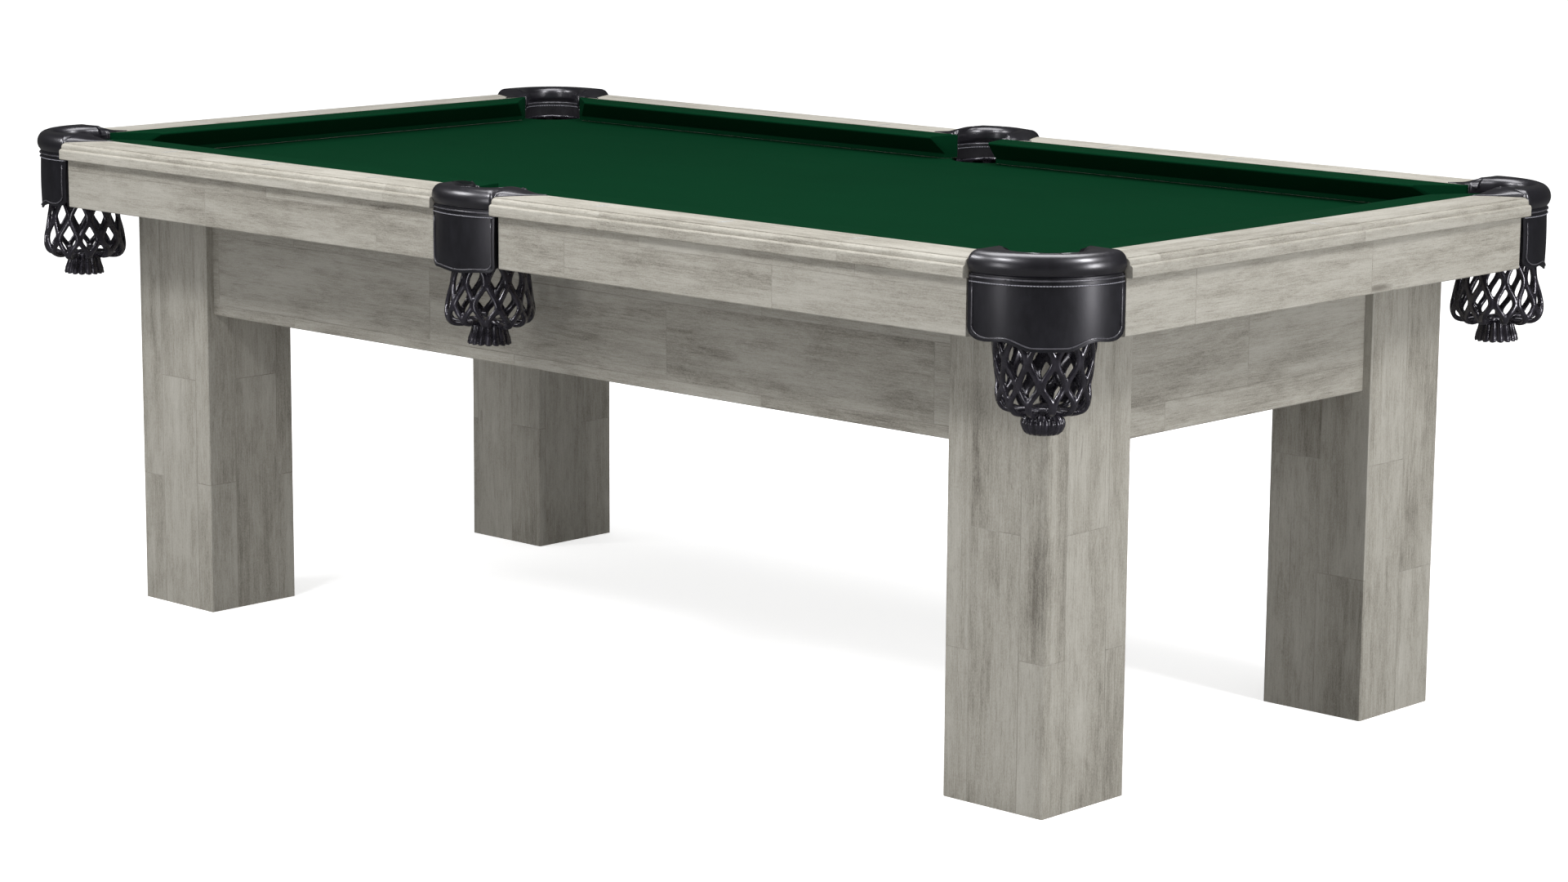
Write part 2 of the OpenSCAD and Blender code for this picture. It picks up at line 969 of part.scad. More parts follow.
// Leather between the rails: roll above the seam, lining round the opening, shield below
module leather_body(chord, chord_u) {
    r = arc_r(chord, chord_u);
    c = shield_out - r;
    difference() {
        union() {
            intersection() {
                union() {
                    translate([c, 0, 0])
                        roll_disc(r + roll_out);
                    translate([0, 0, lining_z])
                        cylinder(r = mouth_r + leather_t, h = seam_z - lining_z + 1);
                    shield_wall(r, c, shield_z, seam_z + 1);
                }
                children(0);
            }
            intersection() {
                shield_wall(r, c, shield_z, lip_z - fit_gap);
                translate([0, -chord + shield_gap, shield_z])
                    cube([r, 2 * (chord - shield_gap), apron_h + shield_drop]);
                children(3);
            }
            children(1);
        }
        opening();
        children(2);
    }
}

module shield_wall(r, c, z0, z1) {
    translate([c, 0, z0])
        difference() {
            cylinder(r = r, h = z1 - z0);
            translate([0, 0, -1])
                cylinder(r = r - leather_t, h = z1 - z0 + 2);
            translate([-2 * r, -2 * r, -1])
                cube([2 * r - c - shield_back, 4 * r, z1 - z0 + 2]);
        }
}

// The space between two rails' ends at a corner, and at a side
module corner_room(gap) {
    square_to_rails()
        translate([-corner_cut + gap, -corner_cut + gap, shield_z - 1])
            cube([2 * corner_gap, 2 * corner_gap, roll_top - shield_z + 2]);
}

module side_room(gap) {
    translate([side_in - rail_w + side_step + gap, -side_cut + gap, shield_z - 1])
        cube([2 * side_gap, 2 * (side_cut - gap), roll_top - shield_z + 2]);
}

// The mouth side of a corner, where the horseshoe is open
module corner_back() {
    intersection() {
        corner_room(0);
        translate([(corner_dc - rail_w + corner_in - corner_cut) / sqrt(2), -corner_gap, shield_z - 1])
            cube([2 * corner_gap, 2 * corner_gap, roll_top - shield_z + 2]);
    }
}

// Each rail's end at a pocket: X away from the pocket, Y outward from the nose line
module at_corner_ends() {
    for (k = [0, 1])
        square_to_rails()
            mirror([k, -k, 0])
                translate([-corner_cut, corner_in - rail_w, 0])
                    mirror([1, 0, 0])
                        children();
}

module at_side_ends() {
    for (k = [0, 1])
        mirror([0, k, 0])
            translate([side_in - rail_w, -side_cut, 0])
                mirror([1, -1, 0])
                    mirror([1, 0, 0])
                        children();
}

// A pointed ear that lies on the rail top
ear_t = 6;
ear_root = 14;
module ear() {
    translate([0, cloth_w, rail_z])
        linear_extrude(ear_t)
            polygon([[-ear_root, 2], [0, -2], [ear_l, 2], [0.6 * ear_l, 18], [0.25 * ear_l, 34],
                     [0, 52], [-ear_root, 58]]);
}

// A lug that is let into a rail's end
module lug_bar() {
    translate([-lug_root, lug_d - lug_w / 2, lug_z])
        cube([lug_root + lug_l, lug_w, lug_t]);
}

module lug_drilling() {
    translate([lug_hole, lug_d, lug_z - 1])
        cylinder(r = iron_bolt_r, h = lug_t + 2);
}

// A pocket iron before drilling, with its lugs as children
module iron_blank() {
    difference() {
        union() {
            iron_ring();
            children();
        }
        translate([0, 0, lug_z - 1])
            cylinder(r = iron_in, h = lug_t + 2);
    }
}

module corner_leather(sx, sy) {
    color(leather_black)
        at_corner(sx, sy)
            leather_body(corner_chord, corner_chord_u) {
                corner_back();
                at_corner_ends() ear();
                iron_blank() at_corner_ends() lug_bar();
                corner_room(fit_gap - rail_over);
            }
}

module side_leather(sy) {
    color(leather_black)
        at_side(sy)
            leather_body(side_chord, side_chord_u) {
                side_room(0);
                at_side_ends() ear();
                iron_blank() at_side_ends() lug_bar();
                side_room(fit_gap - rail_over);
            }
}

module pocket_irons() {
    color("#3d3f42") {
        for (q = LONG)
            at_corner(q[1], q[2])
                difference() {
                    iron_blank() at_corner_ends() lug_bar();
                    at_corner_ends() lug_drilling();
                }
        for (q = SIDES)
            at_side(q[1])
                difference() {
                    iron_blank() at_side_ends() lug_bar();
                    at_side_ends() lug_drilling();
                }
    }
}

module iron_bolt() {
    translate([lug_hole, lug_d, lug_z - bolt_head_h])
        cylinder(r = bolt_head_r, h = bolt_head_h, $fn = 6);
    translate([lug_hole, lug_d, lug_z - 0.5])
        cylinder(r = iron_bolt_r, h = iron_bolt_top - lug_z);
}

module pocket_iron_bolts() {
    color(steel) {
        for (q = LONG)
            at_corner(q[1], q[2])
                at_corner_ends()
                    iron_bolt();
        for (q = SIDES)
            at_side(q[1])
                at_side_ends()
                    iron_bolt();
    }
}

// Half of a net's outline, as [radius, height], from its rim down to its gathered middle
net_top = lining_z - 1;
net_bot = bed_h - net_h;
neck_z = net_bot - 5;
neck_r = 14;
tassel_z = neck_z - tassel_h + 1;
function net_wall(t) = [
    [mouth_r + leather_t + 2 - t, net_top + 5],
    [mouth_r + leather_t + 2 - t, net_top],
    [net_r - 3.5 - t, net_top - 12],
    [net_r - 3.5 - t, slate_bot],
    [net_r - 1 - t, apron_z - 12],
    [net_r - 4 - t, net_bot + 36],
    [net_r - t, net_bot + 15],
    [net_r - 3 - t, net_bot + 5 + t / 2],
    [net_r - 12 - t / 2, net_bot + t]];

module net(lean) {
    inner = net_wall(net_t);
    n = len(inner);
    color("#1b1b20")
        intersection() {
            translate([0, 0, net_top])
                rotate([0, -lean, 0])
                    translate([0, 0, -net_top])
                        rotate_extrude()
                            polygon(concat(
                                net_wall(0),
                                [[neck_r + 4, neck_z + 4], [neck_r, neck_z],
                                 [tassel_r - 2, neck_z - 7], [tassel_r, tassel_z + 6],
                                 [tassel_r - 3, tassel_z], [0, tassel_z], [0, net_bot + net_t]],
                                [for (i = [n - 1:-1:0]) inner[i]]));
            translate([-2 * net_r, -2 * net_r, 0])
                cube([4 * net_r, 4 * net_r, lining_z]);
        }
}

module corner_net(sx, sy) {
    at_corner(sx, sy)
        net(corner_lean);
}

module side_net(sy) {
    at_side(sy)
        net(side_lean);
}

// ---- Levelling feet ----

module leveller_inserts() {
    color("#b8a45c")
        for (q = LONG)
            translate([q[1] * leg_x, q[2] * leg_y, insert_z])
                difference() {
                    cylinder(r = insert_r, h = insert_l);
                    translate([0, 0, -1])
                        cylinder(r = stud_r + stud_clear, h = insert_l + 2);
                }
}

module leveller_pad(sx, sy) {
    color("#4a4a4c")
        translate([sx * leg_x, sy * leg_y, 0])
            difference() {
                union() {
                    cylinder(r1 = pad_r - 1, r2 = pad_r, h = 2);
                    translate([0, 0, 2])
                        cylinder(r = pad_r, h = pad_t - 6);
                    translate([0, 0, pad_t - 4])
                        cylinder(r1 = pad_r, r2 = pad_r - 6, h = 4);
                }
                translate([0, 0, stud_seat])
                    cylinder(r = stud_r + stud_clear, h = pad_t);
            }
}

module leveller_stud(sx, sy) {
    color(steel)
        translate([sx * leg_x, sy * leg_y, stud_seat + axial_gap])
            cylinder(r = stud_r, h = stud_l);
}

// ---- Drawing ----

for (q = LONG) {
    leg(q[1], q[2]);
    long_rail(q[1], q[2]);
    long_apron(q[1], q[2]);
    corner_leather(q[1], q[2]);
    corner_net(q[1], q[2]);
    leveller_pad(q[1], q[2]);
    leveller_stud(q[1], q[2]);
}
for (q = ENDS) {
    end_rail(q[1]);
    end_apron(q[1]);
    end_board(q[1]);
}
for (q = SIDES) {
    side_board(q[1]);
    side_leather(q[1]);
    side_net(q[1]);
}
cross_beams();
corner_blocks();
leg_bolts();
frame_screws();
slate(-slate_x, -joint_x);  // slate_left
slate(-joint_x, joint_x);  // slate_middle
slate(joint_x, slate_x);  // slate_right
slate_liners();
slate_screws();
bed_cloth();
rail_cloths();
cushion_rubbers();
cushion_facings();
rail_bolts();
sights();
apron_cleats();
cleat_screws();
pocket_irons();
pocket_iron_bolts();
leveller_inserts();
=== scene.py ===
"""Seven-foot drop-pocket pool table: cloth, leather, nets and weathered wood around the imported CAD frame."""
import math
import random

import bmesh
import bpy
from mathutils import Matrix, Vector


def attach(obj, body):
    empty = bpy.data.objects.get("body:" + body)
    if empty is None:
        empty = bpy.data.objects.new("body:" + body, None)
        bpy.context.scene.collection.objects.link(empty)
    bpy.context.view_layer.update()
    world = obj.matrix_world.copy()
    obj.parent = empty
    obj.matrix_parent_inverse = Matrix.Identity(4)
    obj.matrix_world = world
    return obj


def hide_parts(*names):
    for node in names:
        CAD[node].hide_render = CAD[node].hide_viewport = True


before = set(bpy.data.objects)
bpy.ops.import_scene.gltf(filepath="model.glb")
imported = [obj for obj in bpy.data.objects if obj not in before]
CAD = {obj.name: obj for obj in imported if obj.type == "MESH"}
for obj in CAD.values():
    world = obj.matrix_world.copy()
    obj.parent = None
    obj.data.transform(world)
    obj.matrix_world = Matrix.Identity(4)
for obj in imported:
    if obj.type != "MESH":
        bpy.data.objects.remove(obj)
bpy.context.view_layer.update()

# ---- Sizes that the CAD source gives, in metres ----
MM = 0.001
TABLE = "table"
HALF_L, HALF_W = 0.9906, 0.4953
RAIL_W = 0.124
FACE_X, FACE_Y = HALF_L + RAIL_W, HALF_W + RAIL_W
BED_Z = 0.749
RAIL_Z = 0.788
CLOTH_W, RUBBER_W = 0.058, 0.030
NOSE_Z, NOSE_R = 0.785, 0.0025
FACE_ANGLE = 227
CORNER_TIP = 0.121 / math.sqrt(2)
SIDE_TIP = 0.0635
CORNER_SLOPE, SIDE_SLOPE = math.tan(math.radians(52)), math.tan(math.radians(14))
CORNER_END = 0.143
SIDE_CUT = 0.065
CORNER_DC = (CORNER_TIP - CORNER_END + RAIL_W) / CORNER_SLOPE
SIDE_DC = 0.054
STEP_GAP = 0.00005
SLATE_X, SLATE_Y = HALF_L + 0.080, HALF_W + 0.080
SLATE_CUT = 0.062
CORNER_X, CORNER_Y, SIDE_Y = FACE_X - 0.082, FACE_Y - 0.082, FACE_Y - 0.0513
MOUTH_R = 0.050
ROLL_TOP, SEAM_Z, SHIELD_Z = 0.799, 0.766, 0.671
QUADS = {"front_left": (-1, -1), "front_right": (1, -1), "back_left": (-1, 1), "back_right": (1, 1)}
SIDES = {"side_front": -1, "side_back": 1}

# ---- Material building ----
class Paint:
    """A node material with a Principled surface and short names for the nodes used here."""

    def __init__(self, name, **surface):
        self.mat = bpy.data.materials.new(name)
        self.mat.use_nodes = True
        self.tree = self.mat.node_tree
        self.tree.nodes.clear()
        out = self.tree.nodes.new("ShaderNodeOutputMaterial")
        self.bsdf = self.tree.nodes.new("ShaderNodeBsdfPrincipled")
        self.tree.links.new(self.bsdf.outputs[0], out.inputs[0])
        for key, value in surface.items():
            self.bsdf.inputs[key.replace("_", " ")].default_value = value

    def node(self, kind, inputs=(), **settings):
        made = self.tree.nodes.new("ShaderNode" + kind)
        for key, value in settings.items():
            setattr(made, key, value)
        for key, value in dict(inputs).items():
            self.feed(made.inputs[key], value)
        return made

    def feed(self, socket, value):
        if isinstance(value, bpy.types.NodeSocket):
            self.tree.links.new(value, socket)
        else:
            socket.default_value = value

    def place(self):
        return self.node("TexCoord").outputs["Object"]

    def scaled(self, vector, scale, move=(0, 0, 0)):
        return self.node("Mapping", {"Vector": vector, "Scale": scale, "Location": move}).outputs[0]

    def noise(self, vector, scale=1.0, detail=4.0, rough=0.55, warp=0.0):
        return self.node(
            "TexNoise",
            {"Vector": vector, "Scale": scale, "Detail": detail, "Roughness": rough, "Distortion": warp},
        ).outputs["Fac"]

    def ramp(self, value, *stops):
        made = self.node("ValToRGB", {"Fac": value})
        points = made.color_ramp.elements
        while len(points) < len(stops):
            points.new(0.5)
        for point, (at, colour) in zip(points, stops):
            point.position = at
            point.color = (*colour, 1) if isinstance(colour, tuple) else (colour, colour, colour, 1)
        return made.outputs[0]

    def calc(self, kind, a, b=0.0, c=0.0):
        made = self.node("Math", operation=kind)
        for socket, value in zip(made.inputs, (a, b, c)):
            self.feed(socket, value)
        return made.outputs[0]

    def blend(self, factor, a, b, kind="MIX"):
        made = self.node("Mix", data_type="RGBA", blend_type=kind)
        self.feed(made.inputs[0], factor)
        for socket, value in ((made.inputs[6], a), (made.inputs[7], b)):
            self.feed(socket, (*value, 1) if isinstance(value, tuple) else value)
        return made.outputs[2]

    def colour(self, value):
        self.feed(self.bsdf.inputs["Base Color"], (*value, 1) if isinstance(value, tuple) else value)

    def rough(self, value):
        self.feed(self.bsdf.inputs["Roughness"], value)

    def bump(self, height, strength, distance):
        made = self.node("Bump", {"Height": height, "Strength": strength, "Distance": distance})
        self.tree.links.new(made.outputs[0], self.bsdf.inputs["Normal"])


def weathered_wood(name, axis, tone, stave, seed):
    """Silver-grey brushed wood with its grain along one axis."""
    m = Paint(name, Specular_IOR_Level=0.35)
    xyz = m.node("SeparateXYZ", {"Vector": m.place()}).outputs
    along, a, b = {"X": (0, 1, 2), "Y": (1, 0, 2), "Z": (2, 0, 1)}[axis]
    across = m.calc("ADD", xyz[a], xyz[b])
    depth = m.calc("SUBTRACT", xyz[a], xyz[b])
    flat = m.node("CombineXYZ", {0: xyz[along], 1: across, 2: depth}).outputs[0]
    flat = m.scaled(flat, (1, 1, 1), (seed, seed * 0.37, seed * 0.11))
    bricks = m.node(
        "TexBrick",
        {"Vector": flat, "Color1": (0, 0, 0, 1), "Color2": (1, 1, 1, 1), "Mortar": (0.5, 0.5, 0.5, 1),
         "Scale": 1.0, "Mortar Size": 0.0007, "Mortar Smooth": 0.1,
         "Brick Width": stave[0], "Row Height": stave[1]},
        offset=0.37,
    )
    stave_tone = m.node("SeparateColor", {"Color": bricks.outputs["Color"]}).outputs[0]
    joint = bricks.outputs["Fac"]
    slide, skew = m.calc("MULTIPLY", stave_tone, 3.7), m.calc("MULTIPLY", stave_tone, 1.9)
    shift = m.node("CombineXYZ", {0: slide, 1: skew})
    own = m.node("VectorMath", {0: flat, 1: shift.outputs[0]}, operation="ADD").outputs[0]
    wavy = m.scaled(own, (1.3, 26, 26))
    grain = m.noise(wavy, 1.0, 5, 0.6, 0.6)
    fine = m.noise(m.scaled(own, (11, 210, 210)), 1.0, 5, 0.72)
    hair = m.noise(m.scaled(own, (60, 560, 560)), 1.0, 3, 0.6)
    speckle = m.noise(m.scaled(own, (330, 480, 480)), 1.0, 3, 0.7)
    cloud = m.noise(m.scaled(own, (2.2, 5.5, 5.5)), 1.0, 5, 0.6, 0.5)
    smudge = m.noise(m.scaled(own, (9, 24, 24)), 1.0, 6, 0.72, 0.4)
    value = m.calc("MULTIPLY_ADD", m.calc("SUBTRACT", grain, 0.5), 0.30, 0.5)
    shares = ((fine, 0.34), (hair, 0.30), (speckle, 0.42), (cloud, 0.46), (smudge, 0.52), (stave_tone, 0.05))
    for part, weight in shares:
        value = m.calc("ADD", value, m.calc("MULTIPLY", m.calc("SUBTRACT", part, 0.5), weight))
    # tone scales every colour of this copy; where it differs from 1.0 it is painted light or shade for that
    # piece.
    dark, mid, light, pale = [tuple(c * tone for c in col) for col in (
        (0.150, 0.137, 0.115), (0.315, 0.298, 0.258), (0.390, 0.373, 0.330), (0.48, 0.464, 0.420))]
    colour = m.ramp(value, (0.24, dark), (0.44, mid), (0.56, light), (0.80, pale))
    flecks = m.ramp(m.noise(m.scaled(own, (26, 330, 330)), 1.0, 4, 0.62), (0.60, 0.0), (0.70, 1.0))
    scuffs = m.ramp(m.noise(m.scaled(own, (6, 60, 60)), 1.0, 6, 0.75, 1.2), (0.58, 0.0), (0.74, 1.0))
    patches = m.ramp(m.noise(m.scaled(own, (1.7, 4.2, 4.2), (3, 1, 7)), 1.0, 3, 0.5), (0.42, 0.15), (0.66, 1.0))
    stain = m.calc("MULTIPLY", scuffs, patches)
    colour = m.blend(m.calc("MULTIPLY", stain, 0.62), colour, (0.105 * tone, 0.092 * tone, 0.072 * tone))
    colour = m.blend(m.calc("MULTIPLY", flecks, 0.30), colour, (0.12 * tone, 0.106 * tone, 0.085 * tone))
    knots = m.node("TexVoronoi", {"Vector": m.scaled(own, (2.1, 8.5, 8.5)), "Scale": 1.0, "Randomness": 1.0})
    pick = m.node("SeparateColor", {"Color": knots.outputs["Color"]}).outputs[0]
    rare = m.ramp(pick, (0.86, 0.0), (0.87, 1.0))
    near = m.ramp(knots.outputs["Distance"], (0.0, 1.0), (0.035, 0.8), (0.085, 0.0))
    knot = m.calc("MULTIPLY", rare, near)
    colour = m.blend(m.calc("MULTIPLY", knot, 0.7), colour, (0.07 * tone, 0.058 * tone, 0.042 * tone))
    colour = m.blend(m.calc("MULTIPLY", joint, 0.22), colour, (0.12 * tone, 0.108 * tone, 0.09 * tone))
    m.colour(colour)
    m.rough(m.ramp(value, (0.2, 0.66), (0.8, 0.46)))
    height = m.calc("MULTIPLY_ADD", fine, 0.5, m.calc("MULTIPLY", hair, 0.3))
    height = m.calc("SUBTRACT", height, m.calc("MULTIPLY", flecks, 0.35))
    height = m.calc("SUBTRACT", height, m.calc("MULTIPLY", joint, 0.3))
    height = m.calc("SUBTRACT", height, m.calc("MULTIPLY", knot, 0.3))
    m.bump(height, 0.55, 0.0006)
    return m.mat


def plain_wood(name, colour):
    """Sawn softwood of the hidden parts."""
    m = Paint(name, Specular_IOR_Level=0.3)
    spot = m.place()
    rings = m.noise(m.scaled(spot, (3, 3, 40)), 1.0, 5, 0.6, 0.8)
    fine = m.noise(m.scaled(spot, (60, 60, 700)), 1.0, 3, 0.6)
    value = m.calc("MULTIPLY_ADD", fine, 0.3, m.calc("MULTIPLY", rings, 0.7))
    m.colour(m.ramp(value, (0.3, tuple(c * 0.6 for c in colour)), (0.7, colour)))
    m.rough(m.ramp(value, (0.3, 0.75), (0.7, 0.6)))
    m.bump(fine, 0.4, 0.0004)
    return m.mat


def leather(name, base, rough, pebble, coat=0.3, shine=0.75):
    """Black leather: fine pebble grain, creases and a worn sheen."""
    m = Paint(name, Specular_IOR_Level=shine, Specular_Tint=(0.93, 0.91, 1.0, 1),
              Coat_Weight=coat, Coat_Roughness=0.27)
    spot = m.place()
    pores = m.node("TexVoronoi", {"Vector": spot, "Scale": 950.0, "Randomness": 1.0}, feature="SMOOTH_F1")
    cells = pores.outputs["Distance"]
    crease = m.noise(spot, 130.0, 4, 0.5, 0.2)
    wear = m.noise(spot, 14.0, 5, 0.6)
    mottle = m.noise(m.scaled(spot, (1, 1, 0.45)), 55.0, 5, 0.7)
    shade = m.calc("MULTIPLY_ADD", mottle, 0.6, m.calc("MULTIPLY", wear, 0.4))
    low, high = tuple(c * 0.55 for c in base), tuple(c * 1.7 for c in base)
    m.colour(m.ramp(shade, (0.34, low), (0.52, base), (0.72, high)))
    m.rough(m.ramp(shade, (0.3, rough - 0.02), (0.7, rough + 0.05)))
    height = m.calc("MULTIPLY_ADD", cells, 0.7, m.calc("MULTIPLY", crease, 0.6))
    m.bump(height, pebble, 0.0005)
    return m.mat


def cloth(name, base, twill):
    """Worsted green cloth: diagonal weave, faint mottle and a soft nap."""
    m = Paint(name, Specular_IOR_Level=0.02)
    spot = m.place()
    bands = {"Vector": spot, "Scale": twill, "Distortion": 1.5, "Detail": 2.0, "Detail Scale": 3.0}
    weave = m.node("TexWave", bands, bands_direction="DIAGONAL").outputs["Fac"]
    fuzz = m.noise(spot, 900.0, 3, 0.6)
    drift = m.noise(spot, 3.0, 4, 0.5)
    nap = m.noise(m.scaled(spot, (6, 30, 30)), 1.0, 4, 0.6)
    shade = m.calc("MULTIPLY_ADD", weave, 0.18, m.calc("MULTIPLY", fuzz, 0.42))
    shade = m.calc("ADD", shade, m.calc("MULTIPLY_ADD", drift, 0.22, m.calc("MULTIPLY", nap, 0.18)))
    deep, pale = tuple(c * 0.78 for c in base), tuple(c * 1.22 for c in base)
    m.colour(m.ramp(shade, (0.25, deep), (0.5, base), (0.78, pale)))
    m.rough(m.ramp(fuzz, (0.3, 0.86), (0.7, 0.97)))
    m.bump(m.calc("MULTIPLY_ADD", weave, 0.5, m.calc("MULTIPLY", fuzz, 0.5)), 0.35, 0.0003)
    return m.mat


def webbing(name):
    """Glossy black moulded webbing."""
    m = Paint(name, Specular_IOR_Level=0.85, Specular_Tint=(0.90, 0.86, 1.0, 1),
              Coat_Weight=0.85, Coat_Roughness=0.12)
    spot = m.place()
    wear = m.noise(spot, 70.0, 5, 0.6)
    m.colour(m.ramp(wear, (0.35, (0.006, 0.005, 0.008)), (0.7, (0.020, 0.018, 0.026))))
    m.rough(m.ramp(wear, (0.3, 0.20), (0.7, 0.36)))
    m.bump(m.noise(m.scaled(spot, (1, 1, 0.25)), 420.0, 3, 0.6), 0.06, 0.0006)
    return m.mat


def metal(name, colour, rough, metallic):
    """Bare or plated metal with a fine scratched finish."""
    m = Paint(name, Metallic=metallic)
    spot = m.place()
    wear = m.noise(spot, 120.0, 5, 0.65)
    m.colour(m.ramp(wear, (0.3, tuple(c * 0.7 for c in colour)), (0.7, colour)))
    m.rough(m.ramp(wear, (0.3, rough), (0.7, rough + 0.2)))
    m.bump(m.noise(spot, 900.0, 4, 0.6), 0.2, 0.0002)
    return m.mat


def stone(name):
    """Honed slate."""
    m = Paint(name, Specular_IOR_Level=0.4)
    spot = m.place()
    layers = m.noise(m.scaled(spot, (4, 4, 60)), 1.0, 6, 0.6, 0.7)
    m.colour(m.ramp(layers, (0.3, (0.06, 0.066, 0.072)), (0.7, (0.13, 0.14, 0.15))))
    m.rough(m.ramp(layers, (0.3, 0.5), (0.7, 0.7)))
    m.bump(m.noise(spot, 400.0, 5, 0.6), 0.3, 0.0003)
    return m.mat


def rubber(name):
    m = Paint(name, Specular_IOR_Level=0.3)
    spot = m.place()
    dust = m.noise(spot, 90.0, 5, 0.65)
    m.colour(m.ramp(dust, (0.3, (0.02, 0.02, 0.021)), (0.75, (0.05, 0.049, 0.047))))
    m.rough(m.ramp(dust, (0.3, 0.7), (0.7, 0.9)))
    m.bump(m.noise(spot, 1500.0, 3, 0.6), 0.3, 0.0002)
    return m.mat


def pearl(name):
    """Mother-of-pearl look of the inlaid sights."""
    m = Paint(name, Specular_IOR_Level=0.6, Coat_Weight=0.6, Coat_Roughness=0.08)
    spot = m.place()
    swirl = m.noise(m.scaled(spot, (60, 110, 60)), 1.0, 4, 0.6, 1.6)
    m.colour(m.ramp(swirl, (0.3, (0.62, 0.60, 0.56)), (0.5, (0.80, 0.79, 0.75)), (0.7, (0.72, 0.75, 0.76))))
    m.rough(m.ramp(swirl, (0.3, 0.16), (0.7, 0.30)))
    m.bump(swirl, 0.1, 0.0002)
    return m.mat


def thread(name):
    """Waxed grey stitching thread, made pale so that the stitches show as bright dots: partly the thread's own
    grey, partly a painted highlight.
    """
    m = Paint(name, Specular_IOR_Level=0.5)
    spot = m.place()
    ply = m.node("TexWave", {"Vector": spot, "Scale": 500.0}, bands_direction="DIAGONAL").outputs["Fac"]
    # Pale grey: partly the thread's colour, partly a painted highlight on the stitches.
    m.colour(m.ramp(ply, (0.2, (0.16, 0.16, 0.19)), (0.8, (0.46, 0.46, 0.52))))
    m.rough(m.ramp(ply, (0.2, 0.4), (0.8, 0.55)))
    m.bump(ply, 0.3, 0.0002)
    return m.mat


CLOTH_GREEN = (0.0013, 0.0265, 0.0098)
# The third value of each weathered_wood copy is a tone factor. The rail and frame-board copies are made lighter
# or darker than the legs and aprons to suit how each piece is lit, which is painted light and shade.
MAT = {
    "rail_x": weathered_wood("wood_rail_x", "X", 1.12, (0.46, 0.31), 0.0),
    "rail_y": weathered_wood("wood_rail_y", "Y", 0.98, (0.46, 0.31), 5.3),
    "apron_x": weathered_wood("wood_apron_x", "X", 1.0, (0.41, 0.30), 2.1),
    "apron_y": weathered_wood("wood_apron_y", "Y", 1.0, (0.41, 0.30), 7.7),
    "board_x": weathered_wood("wood_board_x", "X", 0.93, (0.52, 0.115), 11.0),
    "board_y": weathered_wood("wood_board_y", "Y", 0.96, (0.52, 0.115), 13.0),
    "leg": weathered_wood("wood_leg", "Z", 1.0, (0.47, 0.089), 17.0),
    "pine": plain_wood("sawn_pine", (0.60, 0.45, 0.27)),
    "roll": leather("leather_roll", (0.006, 0.0056, 0.0088), 0.32, 0.05, 1.0, 1.0),
    "shield": leather("leather_shield", (0.0085, 0.0085, 0.0112), 0.38, 0.14, 0.2, 0.6),
    "lining": leather("leather_lining", (0.015, 0.0145, 0.017), 0.42, 0.30),
    # The piping leather is much paler than the other black leathers so that the seams show as bright lines: a
    # painted highlight.
    "piping": leather("leather_piping", (0.075, 0.073, 0.085), 0.26, 0.06, 0.8),
    "thread": thread("stitch_thread"),
    "cloth": cloth("bed_worsted", CLOTH_GREEN, 620.0),
    "rail_cloth": cloth("rail_worsted", CLOTH_GREEN, 640.0),
    "net": webbing("moulded_webbing"),
    "steel": metal("zinc_steel", (0.52, 0.53, 0.55), 0.3, 1.0),
    "iron": metal("cast_iron", (0.06, 0.06, 0.065), 0.5, 0.8),
    "brass": metal("turned_brass", (0.60, 0.44, 0.18), 0.25, 1.0),
    "slate": stone("honed_slate"),
    "rubber": rubber("cushion_rubber"),
    "foot": rubber("foot_plastic"),
    "pearl": pearl("pearl_inlay"),
}
PAINT_BY_START = [
    ("leg_bolts", "steel"), ("leg_", "leg"), ("frame_side", "board_x"), ("frame_end", "board_y"),
    ("frame_screws", "steel"), ("cross_beams", "pine"), ("corner_blocks", "pine"),
    ("slate_liners", "pine"), ("slate_screws", "steel"), ("slate_", "slate"), ("rail_end", "rail_y"),
    ("rail_bolts", "steel"), ("rail_", "rail_x"), ("apron_end", "apron_y"), ("apron_cleats", "pine"),
    ("apron_", "apron_x"), ("cushion_", "rubber"), ("sights", "pearl"), ("cleat_screws", "steel"),
    ("pocket_iron_bolts", "steel"), ("pocket_irons", "iron"), ("leveller_inserts", "brass"),
    ("leveller_pad", "foot"), ("leveller_stud", "steel"),
]
for node_name, node in CAD.items():
    key = next((k for start, k in PAINT_BY_START if node_name.startswith(start)), "leg")
    node.data.materials.clear()
    node.data.materials.append(MAT[key])

# ---- Mesh building ----
def piece(name, verts, faces, paint, slot, smooth=True):
    """A mesh object in the row frame that rides on the table."""
    mesh = bpy.data.meshes.new(name)
    mesh.from_pydata([tuple(v) for v in verts], [], faces)
    bm = bmesh.new()
    bm.from_mesh(mesh)
    bmesh.ops.remove_doubles(bm, verts=bm.verts, dist=1e-6)
    bmesh.ops.recalc_face_normals(bm, faces=bm.faces)
    bm.to_mesh(mesh)
    bm.free()
    for polygon in mesh.polygons:
        polygon.use_smooth = smooth
    made = bpy.data.objects.new(name, mesh)
    bpy.context.scene.collection.objects.link(made)
    mesh.materials.append(MAT[paint])
    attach(made, TABLE)
    return made


def modify(obj, kind, **settings):
    """Adds a modifier and applies it."""
    made = obj.modifiers.new(kind, kind)
    for key, value in settings.items():
        setattr(made, key, value)
    deps = bpy.context.evaluated_depsgraph_get()
    mesh = bpy.data.meshes.new_from_object(obj.evaluated_get(deps))
    obj.modifiers.clear()
    old, obj.data = obj.data, mesh
    bpy.data.meshes.remove(old)
    return obj


def grid_faces(rows, cols, close_rows=False, close_cols=False):
    """Quads over rows x cols of vertices numbered row by row."""
    faces = []
    for i in range(rows if close_rows else rows - 1):
        for j in range(cols if close_cols else cols - 1):
            k, n = (i + 1) % rows, (j + 1) % cols
            faces.append((i * cols + j, i * cols + n, k * cols + n, k * cols + j))
    return faces


